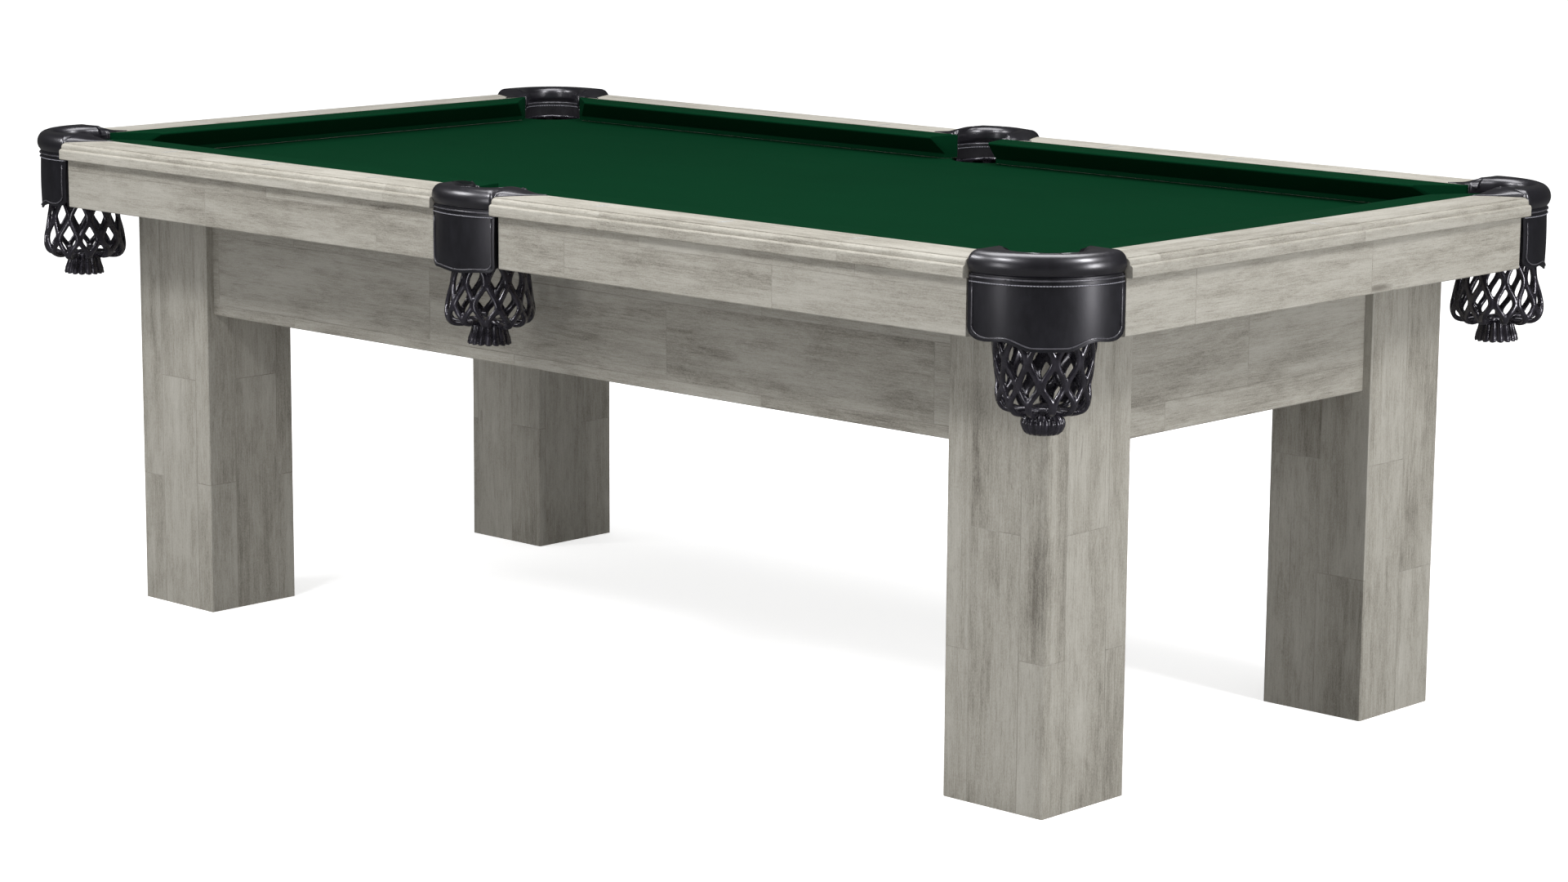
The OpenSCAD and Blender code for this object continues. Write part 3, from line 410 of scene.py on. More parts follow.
def slab_faces(rows, cols):
    """Faces of a slab made of two grids of points: one side, the other side, then the rim."""
    size = (rows + 1) * (cols + 1)
    side = grid_faces(rows + 1, cols + 1)
    rim = list(range(cols + 1)) + [i * (cols + 1) + cols for i in range(1, rows + 1)]
    rim += [rows * (cols + 1) + j for j in range(cols - 1, -1, -1)]
    rim += [i * (cols + 1) for i in range(rows - 1, 0, -1)]
    other = [tuple(k + size for k in reversed(f)) for f in side]
    return side + other + [(a, b, b + size, a + size) for a, b in zip(rim, rim[1:] + rim[:1])]


def tube(path, radius, sides=10, closed=False, squash=1.0, up=Vector((0, 0, 1))):
    """Vertices and faces of a rounded tube along a path."""
    verts = []
    count = len(path)
    for i, p in enumerate(path):
        before = path[i - 1] if (i or closed) else p
        after = path[(i + 1) % count] if (i < count - 1 or closed) else p
        ahead = (after - before).normalized()
        side = ahead.cross(up)
        if side.length < 0.05:
            side = ahead.cross(Vector((1, 0, 0)))
        side.normalize()
        rise = side.cross(ahead)
        r = radius(i / (count - 1)) if callable(radius) else radius
        for j in range(sides):
            a = 2 * math.pi * j / sides
            verts.append(p + side * (r * math.cos(a)) + rise * (r * squash * math.sin(a)))
    faces = grid_faces(count, sides, close_rows=closed, close_cols=True)
    if not closed:
        faces.append(tuple(range(sides))[::-1])
        faces.append(tuple(range((count - 1) * sides, count * sides)))
    return verts, faces


def join_parts(parts):
    """One list of vertices and faces from several."""
    verts, faces = [], []
    for some_verts, some_faces in parts:
        shift = len(verts)
        verts += list(some_verts)
        faces += [tuple(i + shift for i in f) for f in some_faces]
    return verts, faces


def smoothstep(x):
    x = min(1.0, max(0.0, x))
    return x * x * (3 - 2 * x)

# ---- Bed cloth ----
def slot_arc(cx, cy, start, stop, steps):
    """Points on a pocket cut-out, from one angle to another in degrees."""
    return [
        (cx + SLATE_CUT * math.cos(math.radians(start + (stop - start) * i / steps)),
         cy + SLATE_CUT * math.sin(math.radians(start + (stop - start) * i / steps)))
        for i in range(steps + 1)
    ]


def bed_outline():
    """The cloth's edge, anticlockwise."""
    dx, dy = SLATE_X - CORNER_X, SLATE_Y - CORNER_Y
    half = math.sqrt(SLATE_CUT ** 2 - dx ** 2)
    a = math.degrees(math.atan2(-half, dx))
    b = math.degrees(math.atan2(dy, -half)) - 360
    quarter = slot_arc(CORNER_X, CORNER_Y, a, b, 40)
    side = [(SLATE_CUT, SLATE_Y)] + slot_arc(0, SIDE_Y, 0, -180, 48) + [(-SLATE_CUT, SLATE_Y)]
    top = quarter + side + [(-x, y) for x, y in reversed(quarter)]
    return top + [(-x, -y) for x, y in top]


def bed_cloth():
    outline = bed_outline()
    count = len(outline)
    verts = [Vector((x, y, BED_Z)) for x, y in outline]
    faces = [tuple(range(count))]
    centres = [Vector((sx * CORNER_X, sy * CORNER_Y, 0)) for sx in (-1, 1) for sy in (-1, 1)]
    centres += [Vector((0, sy * SIDE_Y, 0)) for sy in (-1, 1)]
    rings = [list(range(count))]
    fold = [(0.0012, 0.0003), (0.0022, 0.0012), (0.0026, 0.0030), (0.0027, 0.022)]
    for out, down in fold:
        ring = []
        for x, y in outline:
            flat = Vector((x, y, 0))
            centre = min(centres, key=lambda c: (c - flat).length)
            near = (centre - flat).length < SLATE_CUT + 0.012
            away = (centre - flat).normalized() * out if near else Vector((0, 0, 0))
            verts.append(Vector((x, y, BED_Z - down)) + away)
            ring.append(len(verts) - 1)
        rings.append(ring)
    for upper, lower in zip(rings, rings[1:]):
        for i in range(count):
            j = (i + 1) % count
            faces.append((upper[i], lower[i], lower[j], upper[j]))
    made = piece("bed_cloth_sheet", verts, faces, "cloth", "green_cloth", smooth=False)
    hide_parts("bed_cloth")

# ---- Rail cloths ----
def rail_profile():
    """Cloth line over a cushion as (distance from the nose line, height)."""
    arc = []
    for i in range(13):
        a = math.radians(90 + (FACE_ANGLE - 90) * i / 12)
        arc.append((NOSE_R + NOSE_R * math.cos(a), NOSE_Z + NOSE_R * math.sin(a)))
    last = arc[-1]
    slope = -math.cos(math.radians(FACE_ANGLE)) / math.sin(math.radians(FACE_ANGLE))
    foot = (RUBBER_W - MM, last[1] + slope * (RUBBER_W - MM - last[0]))
    face = [(last[0] + (foot[0] - last[0]) * i / 4, last[1] + (foot[1] - last[1]) * i / 4) for i in range(1, 5)]
    top = [(CLOTH_W - 0.0004, RAIL_Z - 0.0022), (CLOTH_W - 0.0010, RAIL_Z - 0.0008), (CLOTH_W - 0.0022, RAIL_Z)]
    steps = (SIDE_DC + STEP_GAP, SIDE_DC, CORNER_DC + STEP_GAP, CORNER_DC, 0.046, RUBBER_W)
    top += [(d, RAIL_Z) for d in steps] + [(0.015, RAIL_Z - 0.0002)]
    return top + arc + face + [(RUBBER_W - MM, BED_Z + 0.0006)]


def corner_stop(half, face):
    """Where a cushion's cloth ends along the rail, at a distance from the nose line."""
    return lambda d: half - CORNER_TIP + CORNER_SLOPE * d if d <= CORNER_DC else face - CORNER_END


def side_stop(d):
    return SIDE_TIP - SIDE_SLOPE * d if d <= SIDE_DC else SIDE_CUT


def rail_cloth(name, start, stop, to_world, length, steps):
    profile = rail_profile()
    columns = 2 + int(length / 0.05)
    verts = []
    for d, z in profile:
        for j in range(columns):
            x = start(d) + (stop(d) - start(d)) * j / (columns - 1)
            verts.append(to_world(x, d, z))
    faces = grid_faces(len(profile), columns)
    foot = BED_Z + 0.0006
    for column, end, dc in ((0, start, steps[0]), (columns - 1, stop, steps[1])):
        base = len(verts)
        verts.append(to_world(end(dc), dc, foot))
        verts.append(to_world(end(dc + STEP_GAP), dc + STEP_GAP, foot))
        verts.append(to_world(end(CLOTH_W), CLOTH_W - 0.0004, foot))
        rows = [i * columns + column for i in range(len(profile))]
        near = [row for row, (d, z) in zip(rows, profile) if d <= dc + STEP_GAP / 2]
        far = [row for row, (d, z) in zip(rows, profile) if d > dc + STEP_GAP / 2]
        faces.append(tuple(near) + (base,))
        faces.append((far[-1], near[0], base, base + 1))
        faces.append(tuple(far) + (base + 1, base + 2))
    made = piece(name, verts, faces, "rail_cloth", "green_cloth", smooth=False)
    modify(made, "BEVEL", width=0.0011, segments=3, limit_method="ANGLE", angle_limit=math.radians(48))
    for polygon in made.data.polygons:
        polygon.use_smooth = True
    made.data.set_sharp_from_angle(angle=math.radians(40))
    return made


def rail_cloths():
    made = []
    x_stop = corner_stop(HALF_L, FACE_X)
    y_stop = corner_stop(HALF_W, FACE_Y)
    for name, (sx, sy) in QUADS.items():
        made.append(rail_cloth(
            "rail_cloth_" + name, side_stop, x_stop,
            lambda x, d, z, sx=sx, sy=sy: Vector((sx * x, sy * (HALF_W + d), z)), 0.85, (SIDE_DC, CORNER_DC)))
    for name, sx in (("end_left", -1), ("end_right", 1)):
        made.append(rail_cloth(
            "rail_cloth_" + name, lambda d: -y_stop(d), y_stop,
            lambda x, d, z, sx=sx: Vector((sx * (HALF_L + d), x, z)), 0.84, (CORNER_DC, CORNER_DC)))
    for cover in made:
        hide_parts("rail_cloths")

# ---- Leather pockets ----
class Pocket:
    """The plan of one pocket in its own frame: +X points outward from the table."""

    def __init__(self, name, corner):
        self.name = name
        self.corner = corner
        if corner:
            sx, sy = QUADS[name]
            self.turn = math.atan2(sy, sx)
            self.centre = Vector((sx * CORNER_X, sy * CORNER_Y, 0))
            self.chord, chord_u = 0.148 / math.sqrt(2), 0.082 * math.sqrt(2) - 0.148 / math.sqrt(2)
            self.edge = self.chord - 0.0018
            self.throat = (-0.0361, 0.0502)
            self.wall = lambda u: u + 0.0863
        else:
            self.turn = math.pi / 2 * SIDES[name]
            self.centre = Vector((0, SIDES[name] * SIDE_Y, 0))
            self.chord, chord_u = 0.067, 0.0553
            self.edge = self.chord - 0.0005
            self.throat = (-0.0187, 0.0500)
            self.wall = lambda u: 0.065
        rise = 0.071 - chord_u
        self.radius = (self.chord ** 2 + rise ** 2) / (2 * rise)
        self.mid = 0.071 - self.radius
        self.spin = Matrix.Translation(self.centre) @ Matrix.Rotation(self.turn, 4, "Z")

    def world(self, u, v, z):
        return self.spin @ Vector((u, v, z))

    def inner_path(self, steps):
        """The wall of the opening from one throat corner round to the other."""
        u0 = self.throat[0]
        return even([(u0, -MOUTH_R), (-0.0001, -MOUTH_R)]
                    + [(MOUTH_R * math.cos(math.radians(a)), MOUTH_R * math.sin(math.radians(a)))
                       for a in range(-90, 91, 5)]
                    + [(-0.0001, MOUTH_R), (u0, MOUTH_R)], steps)

    def outer_path(self, steps):
        """The outside of the roll: along one rail's end, round the arc, back along the other rail's end."""
        r = self.radius + 0.005
        end = 1.2
        while self.mid + r * math.cos(end) < -0.3 or r * math.sin(end) > self.wall(self.mid + r * math.cos(end)):
            end -= 0.0005
        u0 = self.throat[0]
        back = [(u0, self.throat[1])] + ([] if self.corner else [(u0, self.wall(u0))])
        arc = [(self.mid + r * math.cos(a), r * math.sin(a)) for a in (end * (1 - i / 30) for i in range(61))]
        line = back + arc + [(u, -v) for u, v in reversed(back)]
        line = [(u, -v) for u, v in line]
        return rounded(even(line, steps * 4), 9, steps)


def even(line, steps):
    """Points spaced evenly along a polyline."""
    points = [Vector((x, y)) for x, y in line]
    dist = [0.0]
    for a, b in zip(points, points[1:]):
        dist.append(dist[-1] + (b - a).length)
    out, k = [], 0
    for i in range(steps + 1):
        want = dist[-1] * i / steps
        while k < len(points) - 2 and dist[k + 1] < want:
            k += 1
        span = max(dist[k + 1] - dist[k], 1e-9)
        out.append(points[k].lerp(points[k + 1], min(1, max(0, (want - dist[k]) / span))))
    return out


def rounded(points, passes, steps):
    """Softens the corners of a path and thins it to the given number of steps."""
    for _ in range(passes):
        inside = [(a + b * 2 + c) / 4 for a, b, c in zip(points, points[1:], points[2:])]
        points = [points[0]] + inside + [points[-1]]
    return even([tuple(p) for p in points], steps)


def roll_section(thick):
    """(distance in from the outside, height) round the roll's section, from the outer seam over the top."""
    fit = min(1.0, thick / 0.027)
    outer, inner = 0.016 * fit, 0.011 * fit
    crown = 0.7885 + (ROLL_TOP - 0.7885) * smoothstep(thick / 0.026)
    line = []
    for i in range(15):
        a = math.radians(-64 + 154 * i / 14)
        rise = (crown - 0.781) * math.sin(a) if a > 0 else 0.0165 * math.sin(a)
        line.append((outer * (1 - math.cos(a)), 0.781 + rise))
    for i in range(1, 4):
        t = i / 4
        line.append((outer + (thick - outer - inner) * t, crown + 0.0006 * fit * math.sin(math.pi * t)))
    for i in range(9):
        a = math.radians(90 - 90 * i / 8)
        line.append((thick - inner * (1 - math.cos(a)), crown - 0.012 + 0.012 * math.sin(a)))
    line += [(thick + 0.0006, crown - 0.018), (thick, 0.7715), (thick - 0.002 * fit, 0.7705)]
    return line


def leather_roll(p):
    steps = 120
    inner, outer = p.inner_path(steps), p.outer_path(steps)
    verts = []
    for a, b in zip(outer, inner):
        way = b - a
        thick = max(way.length, 0.004)
        way = way.normalized() if way.length > 1e-6 else Vector((0, 1))
        section = roll_section(thick)
        for off, z in section:
            spot = a + way * off
            verts.append(p.world(spot.x, spot.y, z))
    cols = len(verts) // (steps + 1)
    faces = grid_faces(steps + 1, cols, close_cols=True)
    faces += [tuple(range(cols)), tuple(range(steps * cols, (steps + 1) * cols))[::-1]]
    made = piece("pocket_roll_" + p.name, verts, faces, "roll", "black_leather")
    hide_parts("pocket_leather_" + p.name)


def shield_foot(p, v):
    """Height of the shield's scalloped lower edge at a sideways distance."""
    s = abs(v)
    if p.corner:
        dip = 0.0020 * math.exp(-(((s - 0.083) / 0.012) ** 2))
        low = SHIELD_Z + 0.0115 * smoothstep((s - 0.022) / 0.042) - dip
        corner = 0.013
    else:
        low = SHIELD_Z + 0.001 + 0.0035 * smoothstep(s / 0.05)
        corner = 0.011
    past = (s - (p.edge - corner)) / corner
    if past > 0:
        low += corner * (1 - math.sqrt(max(0.0, 1 - min(past, 1) ** 2)))
    return low


def shield_point(p, v, z, out=0.0):
    """A point on the shield's face, bowed slightly between the seam and the lower edge."""
    t = (z - SHIELD_Z) / (SEAM_Z - SHIELD_Z)
    r = p.radius + out + 0.0012 * math.sin(math.pi * min(1, max(0, t)))
    a = math.asin(max(-1, min(1, v / r)))
    return p.world(p.mid + r * math.cos(a), v, z)


def leather_shield(p):
    cols, rows = (96, 34) if p.corner else (64, 34)
    top = SEAM_Z + 0.002
    verts = []
    for i in range(rows):
        for j in range(cols + 1):
            v = p.edge * math.sin(math.pi * (j / cols - 0.5))
            low = shield_foot(p, v)
            t = i / (rows - 1)
            z = top + (low - top) * (1 - (1 - t) ** 1.5)
            hem = min(z - low, p.edge - abs(v))
            puff = 0.0007 * (1 - smoothstep((hem - 0.0035) / 0.0015))
            verts.append(shield_point(p, v, z, puff - 0.0006))
    faces = grid_faces(rows, cols + 1)
    made = piece("pocket_shield_" + p.name, verts, faces, "shield", "black_leather")
    inward = p.world(0, 0, 0.7) - made.data.vertices[(cols + 1) // 2].co
    facing = made.data.polygons[cols // 2].normal.dot(inward)
    modify(made, "SOLIDIFY", thickness=0.003, offset=1.0 if facing > 0 else -1.0)
    modify(made, "BEVEL", width=0.0007, segments=2, limit_method="ANGLE", angle_limit=math.radians(50))
    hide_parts("pocket_leather_" + p.name)


def leather_returns(p):
    """The shield's side edges, folded back towards the table."""
    parts = []
    for flip in (-1, 1):
        v = flip * (p.edge - 0.0016)
        start = p.mid + math.sqrt(p.radius ** 2 - v ** 2) - 0.0012
        depth = 0.020 if p.corner else 0.034
        rows, cols = 14, 8
        verts = []
        for side in (0, 1):
            for i in range(rows + 1):
                for j in range(cols + 1):
                    t = j / cols
                    low = shield_foot(p, p.edge - 0.004) + 0.004 + 0.010 * t ** 2
                    z = 0.7605 + (low - 0.7605) * i / rows
                    inward = flip * (0.0022 * side + 0.0030 * t if p.corner else 0.0022 * side + 0.0012 * t)
                    turn = depth * t * 0.6 if p.corner else 0.0
                    verts.append(p.world(start - depth * t, v - inward - flip * turn, z))
        parts.append((verts, slab_faces(rows, cols)))
    made = piece("pocket_returns_" + p.name, *join_parts(parts), "shield", "black_leather")
    made.data.set_sharp_from_angle(angle=math.radians(50))
    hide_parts("pocket_leather_" + p.name)


def leather_lining(p):
    steps = 90
    inner = p.inner_path(steps)
    levels = [(0.0012, 0.7735), (0.0, 0.7700), (-0.0004, 0.7650), (0.0, 0.7600),
              (0.0006, 0.7540), (0.0010, 0.7470), (0.0012, 0.7440)]
    verts = []
    for i, q in enumerate(inner):
        before, after = inner[max(0, i - 1)], inner[min(steps, i + 1)]
        ahead = (after - before).normalized()
        out = Vector((ahead.y, -ahead.x))
        for off, z in levels:
            spot = q + out * (off + 0.0004)
            verts.append(p.world(spot.x, spot.y, z))
    faces = grid_faces(steps + 1, len(levels))
    made = piece("pocket_lining_" + p.name, verts, faces, "lining", "black_leather")
    centre = p.world(0, 0, 0.76)
    face = made.data.polygons[len(made.data.polygons) // 2]
    inward = (centre - face.center).dot(face.normal)
    modify(made, "SOLIDIFY", thickness=0.0025, offset=-1.0 if inward > 0 else 1.0)
    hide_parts("pocket_leather_" + p.name)


def stitches(points, every, length, radius):
    """Short rounded stitches along a path."""
    parts = []
    line = even3(points, every)
    for a, b in zip(line, line[1:]):
        way = (b - a).normalized()
        mid = (a + b) / 2
        start, stop = mid - way * (length / 2), mid + way * (length / 2)
        path = [start.lerp(stop, t) for t in (0, 0.25, 0.5, 0.75, 1)]
        parts.append(tube(path, lambda t: radius * (0.35 + 0.65 * math.sin(math.pi * (0.12 + 0.76 * t))), 6))
    return join_parts(parts)


def even3(points, every):
    """3-D points spaced evenly along a path."""
    out, carry = [points[0]], 0.0
    for a, b in zip(points, points[1:]):
        span = (b - a).length
        while span > 0 and carry + span >= every:
            t = (every - carry) / span
            a = a.lerp(b, t)
            out.append(a)
            span = (b - a).length
            carry = 0.0
        carry += span
    return out


def pocket_seams(p):
    """Piping and stitching: under the roll, round the shield's hem and inside the opening."""
    width = p.edge - 0.0008
    spread = [width * (2 * i / 80 - 1) for i in range(81)]
    cords = [tube([shield_point(p, v, 0.7640, 0.0008) for v in spread], 0.0013, 8)]
    ridge = [shield_point(p, v, 0.7573, 0.0001) for v in spread]
    cords.append(tube(ridge, 0.0011, 8))
    inset = 0.0048
    hem = [shield_point(p, -(p.edge - inset), z, 0.0002) for z in (0.7500, 0.735, 0.720, 0.706, 0.697)]
    side = p.edge - inset
    hem += [shield_point(p, v, max(shield_foot(p, v * p.edge / side) + inset, SHIELD_Z + inset), 0.0002)
            for v in (side * math.sin(math.pi * (i / 90 - 0.5)) for i in range(91))]
    hem += [shield_point(p, p.edge - inset, z, 0.0002) for z in (0.697, 0.706, 0.720, 0.735, 0.7500)]
    cords.append(tube(hem, 0.0011, 8))
    steps = 90
    inner = p.inner_path(steps)
    lines = {0.7702: [], 0.7645: []}
    for i, q in enumerate(inner):
        ahead = (inner[min(steps, i + 1)] - inner[max(0, i - 1)]).normalized()
        out = Vector((ahead.y, -ahead.x))
        for z, points in lines.items():
            spot = q - out * 0.0001
            points.append(p.world(spot.x, spot.y, z))
    cords.append(tube(lines[0.7702], 0.0013, 8))
    made = piece("pocket_piping_" + p.name, *join_parts(cords), "piping", "black_leather")
    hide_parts("pocket_leather_" + p.name)
    outside = [shield_point(p, v, 0.7573, 0.0010) for v in spread]
    sewn = join_parts([
        stitches(outside, 0.0042, 0.0034, 0.00065),
        stitches(lines[0.7645], 0.0046, 0.0036, 0.0007),
    ])
    made = piece("pocket_stitches_" + p.name, *sewn, "thread", "black_leather")
    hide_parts("pocket_leather_" + p.name)


def ear_height(x, reach):
    """How far the ear's top stands above the rail top at a distance past the rail's end."""
    return 0.0008 + 0.0078 * (1 - smoothstep((x + 0.013) / (reach * 0.85)))


def leather_ears(p):
    """Thin padded wings of the leather that lie on the rails' ends."""
    parts = []
    rows, cols = 40, 16
    reach = 0.042
    for flip in (-1, 1):
        verts = []
        for layer in (0, 1):
            for i in range(rows + 1):
                x = -0.013 + (reach + 0.013) * i / rows
                t = min(1.0, max(0.0, x / reach))
                front = CLOTH_W - 0.0015 + 0.0035 * t
                if x < 0:
                    front += 0.0005
                back = 0.060 + 0.066 * (1 - t) ** 1.6
                front, back = min(front, back), max(front, back)
                for j in range(cols + 1):
                    s = j / cols
                    y = front + (back - front) * s
                    side_fall = (4 * s * (1 - s)) ** 0.5
                    top = RAIL_Z + 0.0006 + (ear_height(x, reach) + 0.0022 * (1 - t)) * side_fall
                    low = RAIL_Z if x >= 0.0005 else RAIL_Z - 0.004
                    z = top if layer == 0 else low
                    if p.corner:
                        along, across = -0.061 - x, 0.082 - RAIL_W + y
                        u, v = (along + across) / math.sqrt(2), (across - along) / math.sqrt(2)
                    else:
                        u, v = 0.0513 - RAIL_W + y, 0.065 + x
                    verts.append(p.world(u, flip * v, z))
        parts.append((verts, slab_faces(rows, cols)))
    made = piece("pocket_ears_" + p.name, *join_parts(parts), "roll", "black_leather")
    made.data.set_sharp_from_angle(angle=math.radians(50))
    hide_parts("pocket_leather_" + p.name)

# ---- Nets ----
NET_PROFILES = {
    "knob": [
        (0.746, 0.0530), (0.736, 0.0570), (0.722, 0.0595), (0.702, 0.0645), (0.680, 0.0665),
        (0.655, 0.0645), (0.632, 0.0610), (0.618, 0.0585), (0.606, 0.0590), (0.597, 0.0582),
        (0.589, 0.0545), (0.584, 0.0470), (0.582, 0.0360), (0.582, 0.0250), (0.580, 0.0150),
    ],
    "skirt": [
        (0.746, 0.0530), (0.736, 0.0560), (0.722, 0.0560), (0.702, 0.0540), (0.682, 0.0545),
        (0.662, 0.0565), (0.642, 0.0595), (0.626, 0.0625), (0.613, 0.0640), (0.602, 0.0630),
        (0.594, 0.0580), (0.591, 0.0480), (0.592, 0.0380), (0.592, 0.0300), (0.588, 0.0240),
    ],
}
TASSEL_PROFILES = {
    "skirt": [
        (0.5985, 0.006), (0.5955, 0.0200), (0.5925, 0.0250), (0.5890, 0.0262), (0.5850, 0.0268),
        (0.5810, 0.0276), (0.5765, 0.0288), (0.5725, 0.0302), (0.5680, 0.0318), (0.5640, 0.0330),
        (0.5615, 0.0325), (0.5620, 0.0285), (0.5680, 0.0240), (0.572, 0.004),
    ],
    "knob": [
        (0.5920, 0.008), (0.5880, 0.0190), (0.5845, 0.0215), (0.5815, 0.0210), (0.5790, 0.0225),
        (0.5760, 0.0262), (0.5725, 0.0288), (0.5680, 0.0300), (0.5635, 0.0296), (0.5592, 0.0280),
        (0.5552, 0.0256), (0.5524, 0.0222), (0.5510, 0.0160), (0.5506, 0.004),
    ],
}
COLUMNS = 11
STRAND_GAP = 0.034
NODE_LEVELS = (0.728, 0.692, 0.656, 0.622, 0.595)


def profile_at(line, t):
    """Point (height, radius) on the net's outline at a share of its length, smoothed."""
    x = t * (len(line) - 1)
    k = min(int(x), len(line) - 2)
    f = x - k
    pts = [line[max(0, min(len(line) - 1, k + d))] for d in (-1, 0, 1, 2)]
    out = []
    for axis in (0, 1):
        a, b, c, d = (q[axis] for q in pts)
        out.append(b + 0.5 * f * (c - a + f * (2 * a - 5 * b + 4 * c - d + f * (3 * (b - c) + d - a))))
    return out


def level_phase(z):
    """Half turns of the strands' weave at a height: whole numbers are where strands meet."""
    for k in range(len(NODE_LEVELS) - 1):
        if z >= NODE_LEVELS[k + 1]:
            return k + (NODE_LEVELS[k] - z) / (NODE_LEVELS[k] - NODE_LEVELS[k + 1])
    return len(NODE_LEVELS) - 1


def net_mesh(skirt):
    """Strands, rim and gathered bottom in the pocket's own frame."""
    rng = random.Random(41 if skirt else 7)
    line = NET_PROFILES["skirt" if skirt else "knob"]
    parts = []
    pitch = 2 * math.pi / COLUMNS
    steps = 96
    spread = [rng.uniform(-1, 1) for _ in range(2 * COLUMNS)]
    sag = [rng.uniform(-1, 1) for _ in range(2 * COLUMNS)]
    sway_room = pitch / 4 - STRAND_GAP
    for strand in range(2 * COLUMNS):
        path = []
        for i in range(steps + 1):
            z, r = profile_at(line, i / steps)
            low = smoothstep((0.660 - z) / 0.05)
            phase = level_phase(z)
            sway = sway_room * math.cos(math.pi * phase)
            if z > NODE_LEVELS[0]:
                sway = sway_room * math.cos(math.pi * (NODE_LEVELS[0] - z) / 0.04)
            a = strand * pitch / 2 + (sway if strand % 2 == 0 else -sway) + 0.035 * low * spread[strand]
            bulge = 0.0022 * low * math.cos(a * 4 + 1.0) + 0.0012 * low * sag[strand // 2]
            r = r + (bulge if r > 0.05 else 0.0)
            x = r * math.cos(a)
            x *= 0.925 if x > 0 and not skirt else 1.0
            path.append(Vector((x, r * math.sin(a), z + 0.0015 * low * math.sin(a * 3 + 0.6))))
        parts.append(net_strand(path, 0.0046 if skirt else 0.0048, 0.0036, 0.25 if skirt else 0.75))
    turns = [2 * math.pi * i / 72 for i in range(72)]
    rim = [Vector((0.0535 * math.cos(a), 0.0535 * math.sin(a), 0.7425)) for a in turns]
    parts.append(tube(rim, 0.0034, 8, closed=True))
    return join_parts(parts)


def net_strand(path, wide, thick, swell):
    """A flat rounded strand whose broad side lies on the net's surface; it is wider on the table's side."""
    verts, sides = [], 10
    for i, p in enumerate(path):
        ahead = (path[min(len(path) - 1, i + 1)] - path[max(0, i - 1)]).normalized()
        out = Vector((p.x, p.y, 0)).normalized()
        if p.z < 0.590:
            level = smoothstep((p.z - 0.580) / 0.010)
            out = (out * level - Vector((0, 0, 1)) * (1 - level)).normalized()
        side = ahead.cross(out).normalized()
        out = side.cross(ahead).normalized()
        pull = smoothstep((0.058 - Vector((p.x, p.y)).length) / 0.04) if p.z < 0.605 else 0.0
        back = smoothstep(-p.x / 0.05) * (1 - pull)
        slim = 1 - 0.5 * smoothstep((p.z - 0.712) / 0.02)
        w, h = wide * (1 - 0.5 * pull) * (1 + swell * back * slim), thick * slim * (1 + 0.2 * pull)
        for j in range(sides):
            a = 2 * math.pi * j / sides
            verts.append(p + side * (w * math.cos(a)) + out * (h * math.sin(a)))
    faces = grid_faces(len(path), sides, close_cols=True)
    faces += [tuple(range(sides))[::-1], tuple(range((len(path) - 1) * sides, len(path) * sides))]
    return verts, faces


def tassel(skirt):
    """Ribbed end of the net: an onion-shaped knob, or a flared skirt."""
    ribs = 16 if skirt else 18
    line = TASSEL_PROFILES["skirt" if skirt else "knob"]
    fine = []
    for i in range(53):
        x = i / 52 * (len(line) - 1)
        k = min(int(x), len(line) - 2)
        f = smoothstep(x - k) * 0.35 + (x - k) * 0.65
        fine.append(tuple(a + (b - a) * f for a, b in zip(line[k], line[k + 1])))
    around = ribs * 10
    verts = []
    for z, r in fine:
        deep = smoothstep((0.597 - z) / 0.006) if skirt else 0.15 + 0.85 * smoothstep((0.582 - z) / 0.006)
        for j in range(around):
            a = 2 * math.pi * j / around
            rib = abs(math.cos(a * ribs / 2)) ** 0.6
            rr = r - deep * (1 - rib) * (0.0045 if skirt else 0.0030)
            rr = max(0.003, rr)
            drop = -0.0022 * rib if skirt and z < 0.568 and r > 0.028 else 0.0
            verts.append(Vector((rr * math.cos(a), rr * math.sin(a), z + drop)))
    faces = grid_faces(len(fine), around, close_cols=True)
    faces += [tuple(range(around)), tuple(range((len(fine) - 1) * around, len(fine) * around))[::-1]]
    return verts, faces


def fused(name, skirt):
    """The net as one moulded skin: its strands melt together where they meet."""
    made = piece(name, *net_mesh(skirt), "net", "black_webbing")
    modify(made, "REMESH", mode="VOXEL", voxel_size=0.0012)
    modify(made, "SMOOTH", factor=0.5, iterations=7)
    bm = bmesh.new()
    bm.from_mesh(made.data)
    end = bpy.data.meshes.new(name + "_tassel")
    verts, faces = tassel(skirt)
    end.from_pydata([tuple(v) for v in verts], [], faces)
    bm.from_mesh(end)
    bmesh.ops.recalc_face_normals(bm, faces=bm.faces)
    bm.to_mesh(made.data)
    bm.free()
    for polygon in made.data.polygons:
        polygon.use_smooth = True
    return made.data


def nets(pockets):
    moulds = {}
    for p in pockets:
        skirt = p.name != "front_right"
        if skirt not in moulds:
            source = fused("net_mould_" + str(skirt), skirt)
            moulds[skirt] = source
        mesh = moulds[skirt].copy()
        lean = math.radians((1.5 if p.corner else 2.0) if skirt else 0.4)
        hinge = Matrix.Translation((0, 0, 0.745))
        mesh.transform(p.spin @ hinge @ Matrix.Rotation(-lean, 4, "Y") @ hinge.inverted())
        made = bpy.data.objects.new("pocket_webbing_" + p.name, mesh)
        bpy.context.scene.collection.objects.link(made)
        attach(made, TABLE)
        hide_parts("pocket_net_" + p.name)
    for name in ("net_mould_True", "net_mould_False"):
        bpy.data.objects.remove(bpy.data.objects[name])


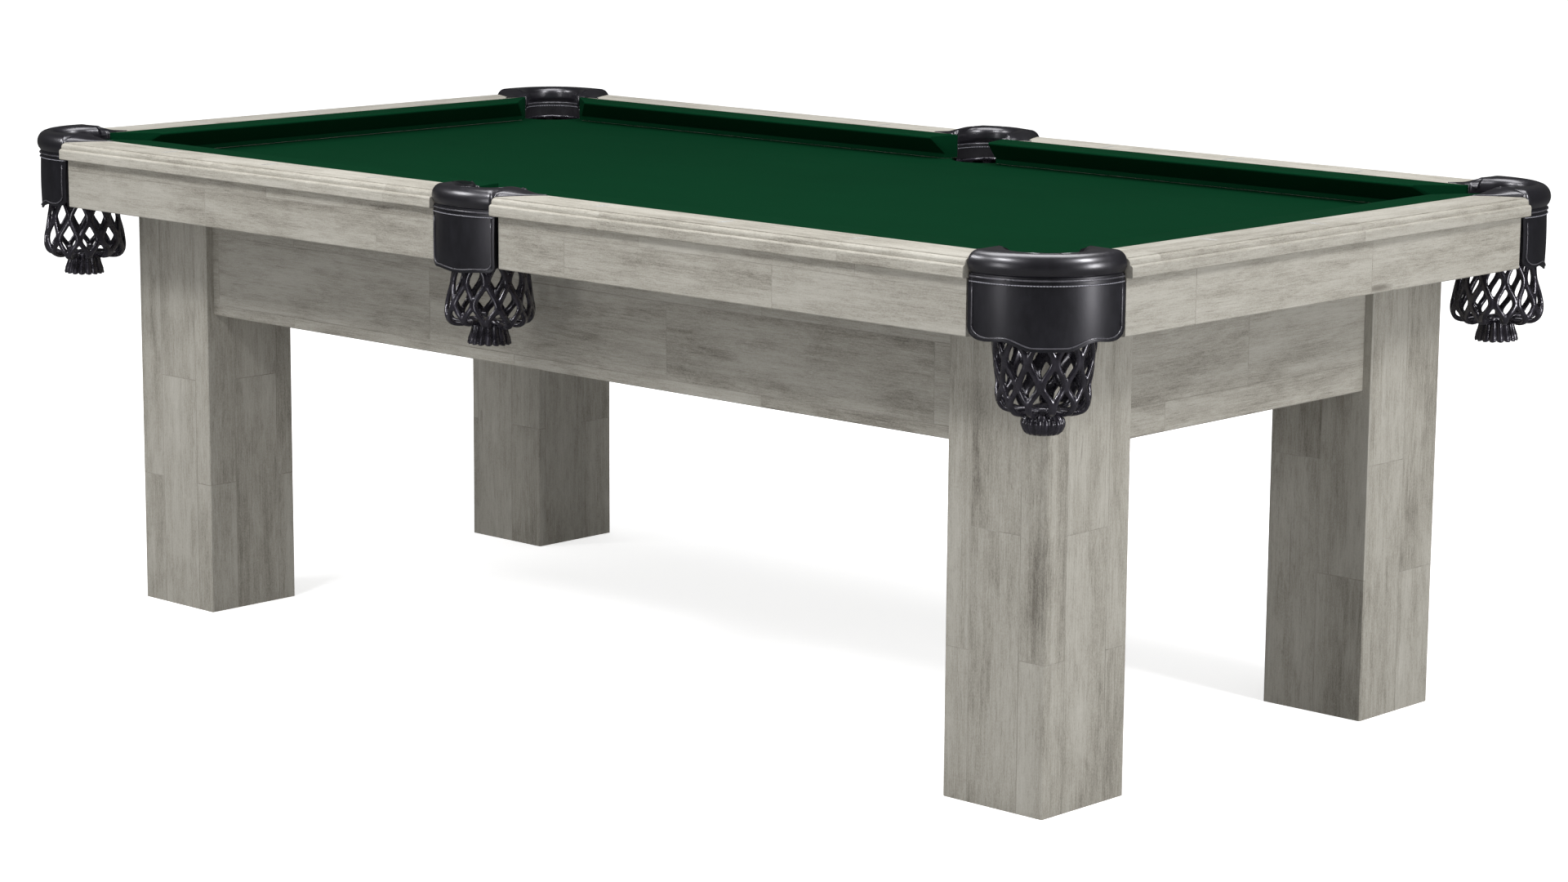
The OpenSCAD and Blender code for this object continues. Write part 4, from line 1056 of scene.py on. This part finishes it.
bed_cloth()
rail_cloths()
pockets = [Pocket(name, True) for name in QUADS] + [Pocket(name, False) for name in SIDES]
for pocket in pockets:
    leather_roll(pocket)
    leather_shield(pocket)
    leather_returns(pocket)
    leather_lining(pocket)
    pocket_seams(pocket)
    leather_ears(pocket)
nets(pockets)

# ---- Camera ----
def add_camera(place, yaw, pitch, roll, lens):
    yaw, pitch, roll = (math.radians(a) for a in (yaw, pitch, roll))
    ahead = Vector((-math.sin(yaw) * math.cos(pitch), math.cos(yaw) * math.cos(pitch), -math.sin(pitch)))
    right = Vector((math.cos(yaw), math.sin(yaw), 0))
    up = right.cross(ahead)
    right, up = right * math.cos(roll) + up * math.sin(roll), up * math.cos(roll) - right * math.sin(roll)
    data = bpy.data.cameras.new("camera")
    data.sensor_width = 36
    data.lens = lens
    data.clip_end = 100
    made = bpy.data.objects.new("camera", data)
    bpy.context.scene.collection.objects.link(made)
    made.matrix_world = Matrix((
        (right.x, up.x, -ahead.x, place[0]),
        (right.y, up.y, -ahead.y, place[1]),
        (right.z, up.z, -ahead.z, place[2]),
        (0, 0, 0, 1)))
    bpy.context.scene.camera = made


add_camera((4.200, -4.428, 1.459), 43.04, 10.41, 0.41, 88.7)

# ---- Floor and light ----
def add_light(name, place, aim, size, power):
    data = bpy.data.lights.new(name, "AREA")
    data.shape = "RECTANGLE"
    data.size, data.size_y = size
    data.energy = power
    made = bpy.data.objects.new(name, data)
    bpy.context.scene.collection.objects.link(made)
    made.location = place
    made.rotation_mode = "QUATERNION"
    made.rotation_quaternion = (Vector(aim) - Vector(place)).to_track_quat("-Z", "Y")


def seen_by(tree, camera, diffuse, glossy):
    """A value that differs for what the camera sees, what lights the scene and what shines in it."""
    path = tree.nodes.new("ShaderNodeLightPath")
    last = diffuse
    for flag, value in (("Is Glossy Ray", glossy), ("Is Camera Ray", camera)):
        mix = tree.nodes.new("ShaderNodeMix")
        tree.links.new(path.outputs[flag], mix.inputs[0])
        if isinstance(last, float):
            mix.inputs[2].default_value = last
        else:
            tree.links.new(last, mix.inputs[2])
        mix.inputs[3].default_value = value
        last = mix.outputs[0]
    return last


def add_floor():
    mesh = bpy.data.meshes.new("floor")
    reach = 30
    corners = [(-reach, -reach, 0), (reach, -reach, 0), (reach, reach, 0), (-reach, reach, 0)]
    mesh.from_pydata(corners, [], [(0, 1, 2, 3)])
    made = bpy.data.objects.new("floor", mesh)
    bpy.context.scene.collection.objects.link(made)
    m = Paint("floor_white", Roughness=0.9, Specular_IOR_Level=0.0)
    pale = m.noise(m.place(), 0.8, 3)
    level = seen_by(m.tree, 1.0, 0.55, 0.10)
    m.colour(m.blend(level, (0, 0, 0), m.ramp(pale, (0.0, (0.93, 0.93, 0.93)), (1.0, (0.96, 0.96, 0.96)))))
    m.feed(m.bsdf.inputs["Emission Color"], (1, 1, 1, 1))
    m.feed(m.bsdf.inputs["Emission Strength"], seen_by(m.tree, 0.66, 0.0, 0.0))
    mesh.materials.append(m.mat)


add_floor()
add_light("top", (0.2, -0.1, 3.4), (0.1, 0, 0.5), (3.2, 1.6), 78)
add_light("front_high", (0.2, -3.2, 3.2), (0.5, 0, 0.7), (0.9, 0.5), 48)
add_light("end_high", (3.7, 0.1, 3.2), (0.5, 0, 0.7), (0.5, 0.9), 66)
add_light("left_high", (-2.4, -2.8, 3.0), (-0.4, 0, 0.7), (1.2, 0.8), 42)
add_light("front_low", (0.2, -4.2, 0.85), (0.4, 0, 0.6), (0.7, 1.2), 15)
add_light("end_low", (4.8, 0.4, 0.85), (0.5, 0, 0.6), (0.7, 1.2), 50)
world = bpy.data.worlds.new("studio")
world.use_nodes = True
back = world.node_tree.nodes["Background"]
back.inputs[0].default_value = (1, 1, 1, 1)
world.node_tree.links.new(seen_by(world.node_tree, 1.05, 0.54, 0.05), back.inputs[1])
bpy.context.scene.world = world
bpy.context.scene.view_settings.view_transform = "Standard"
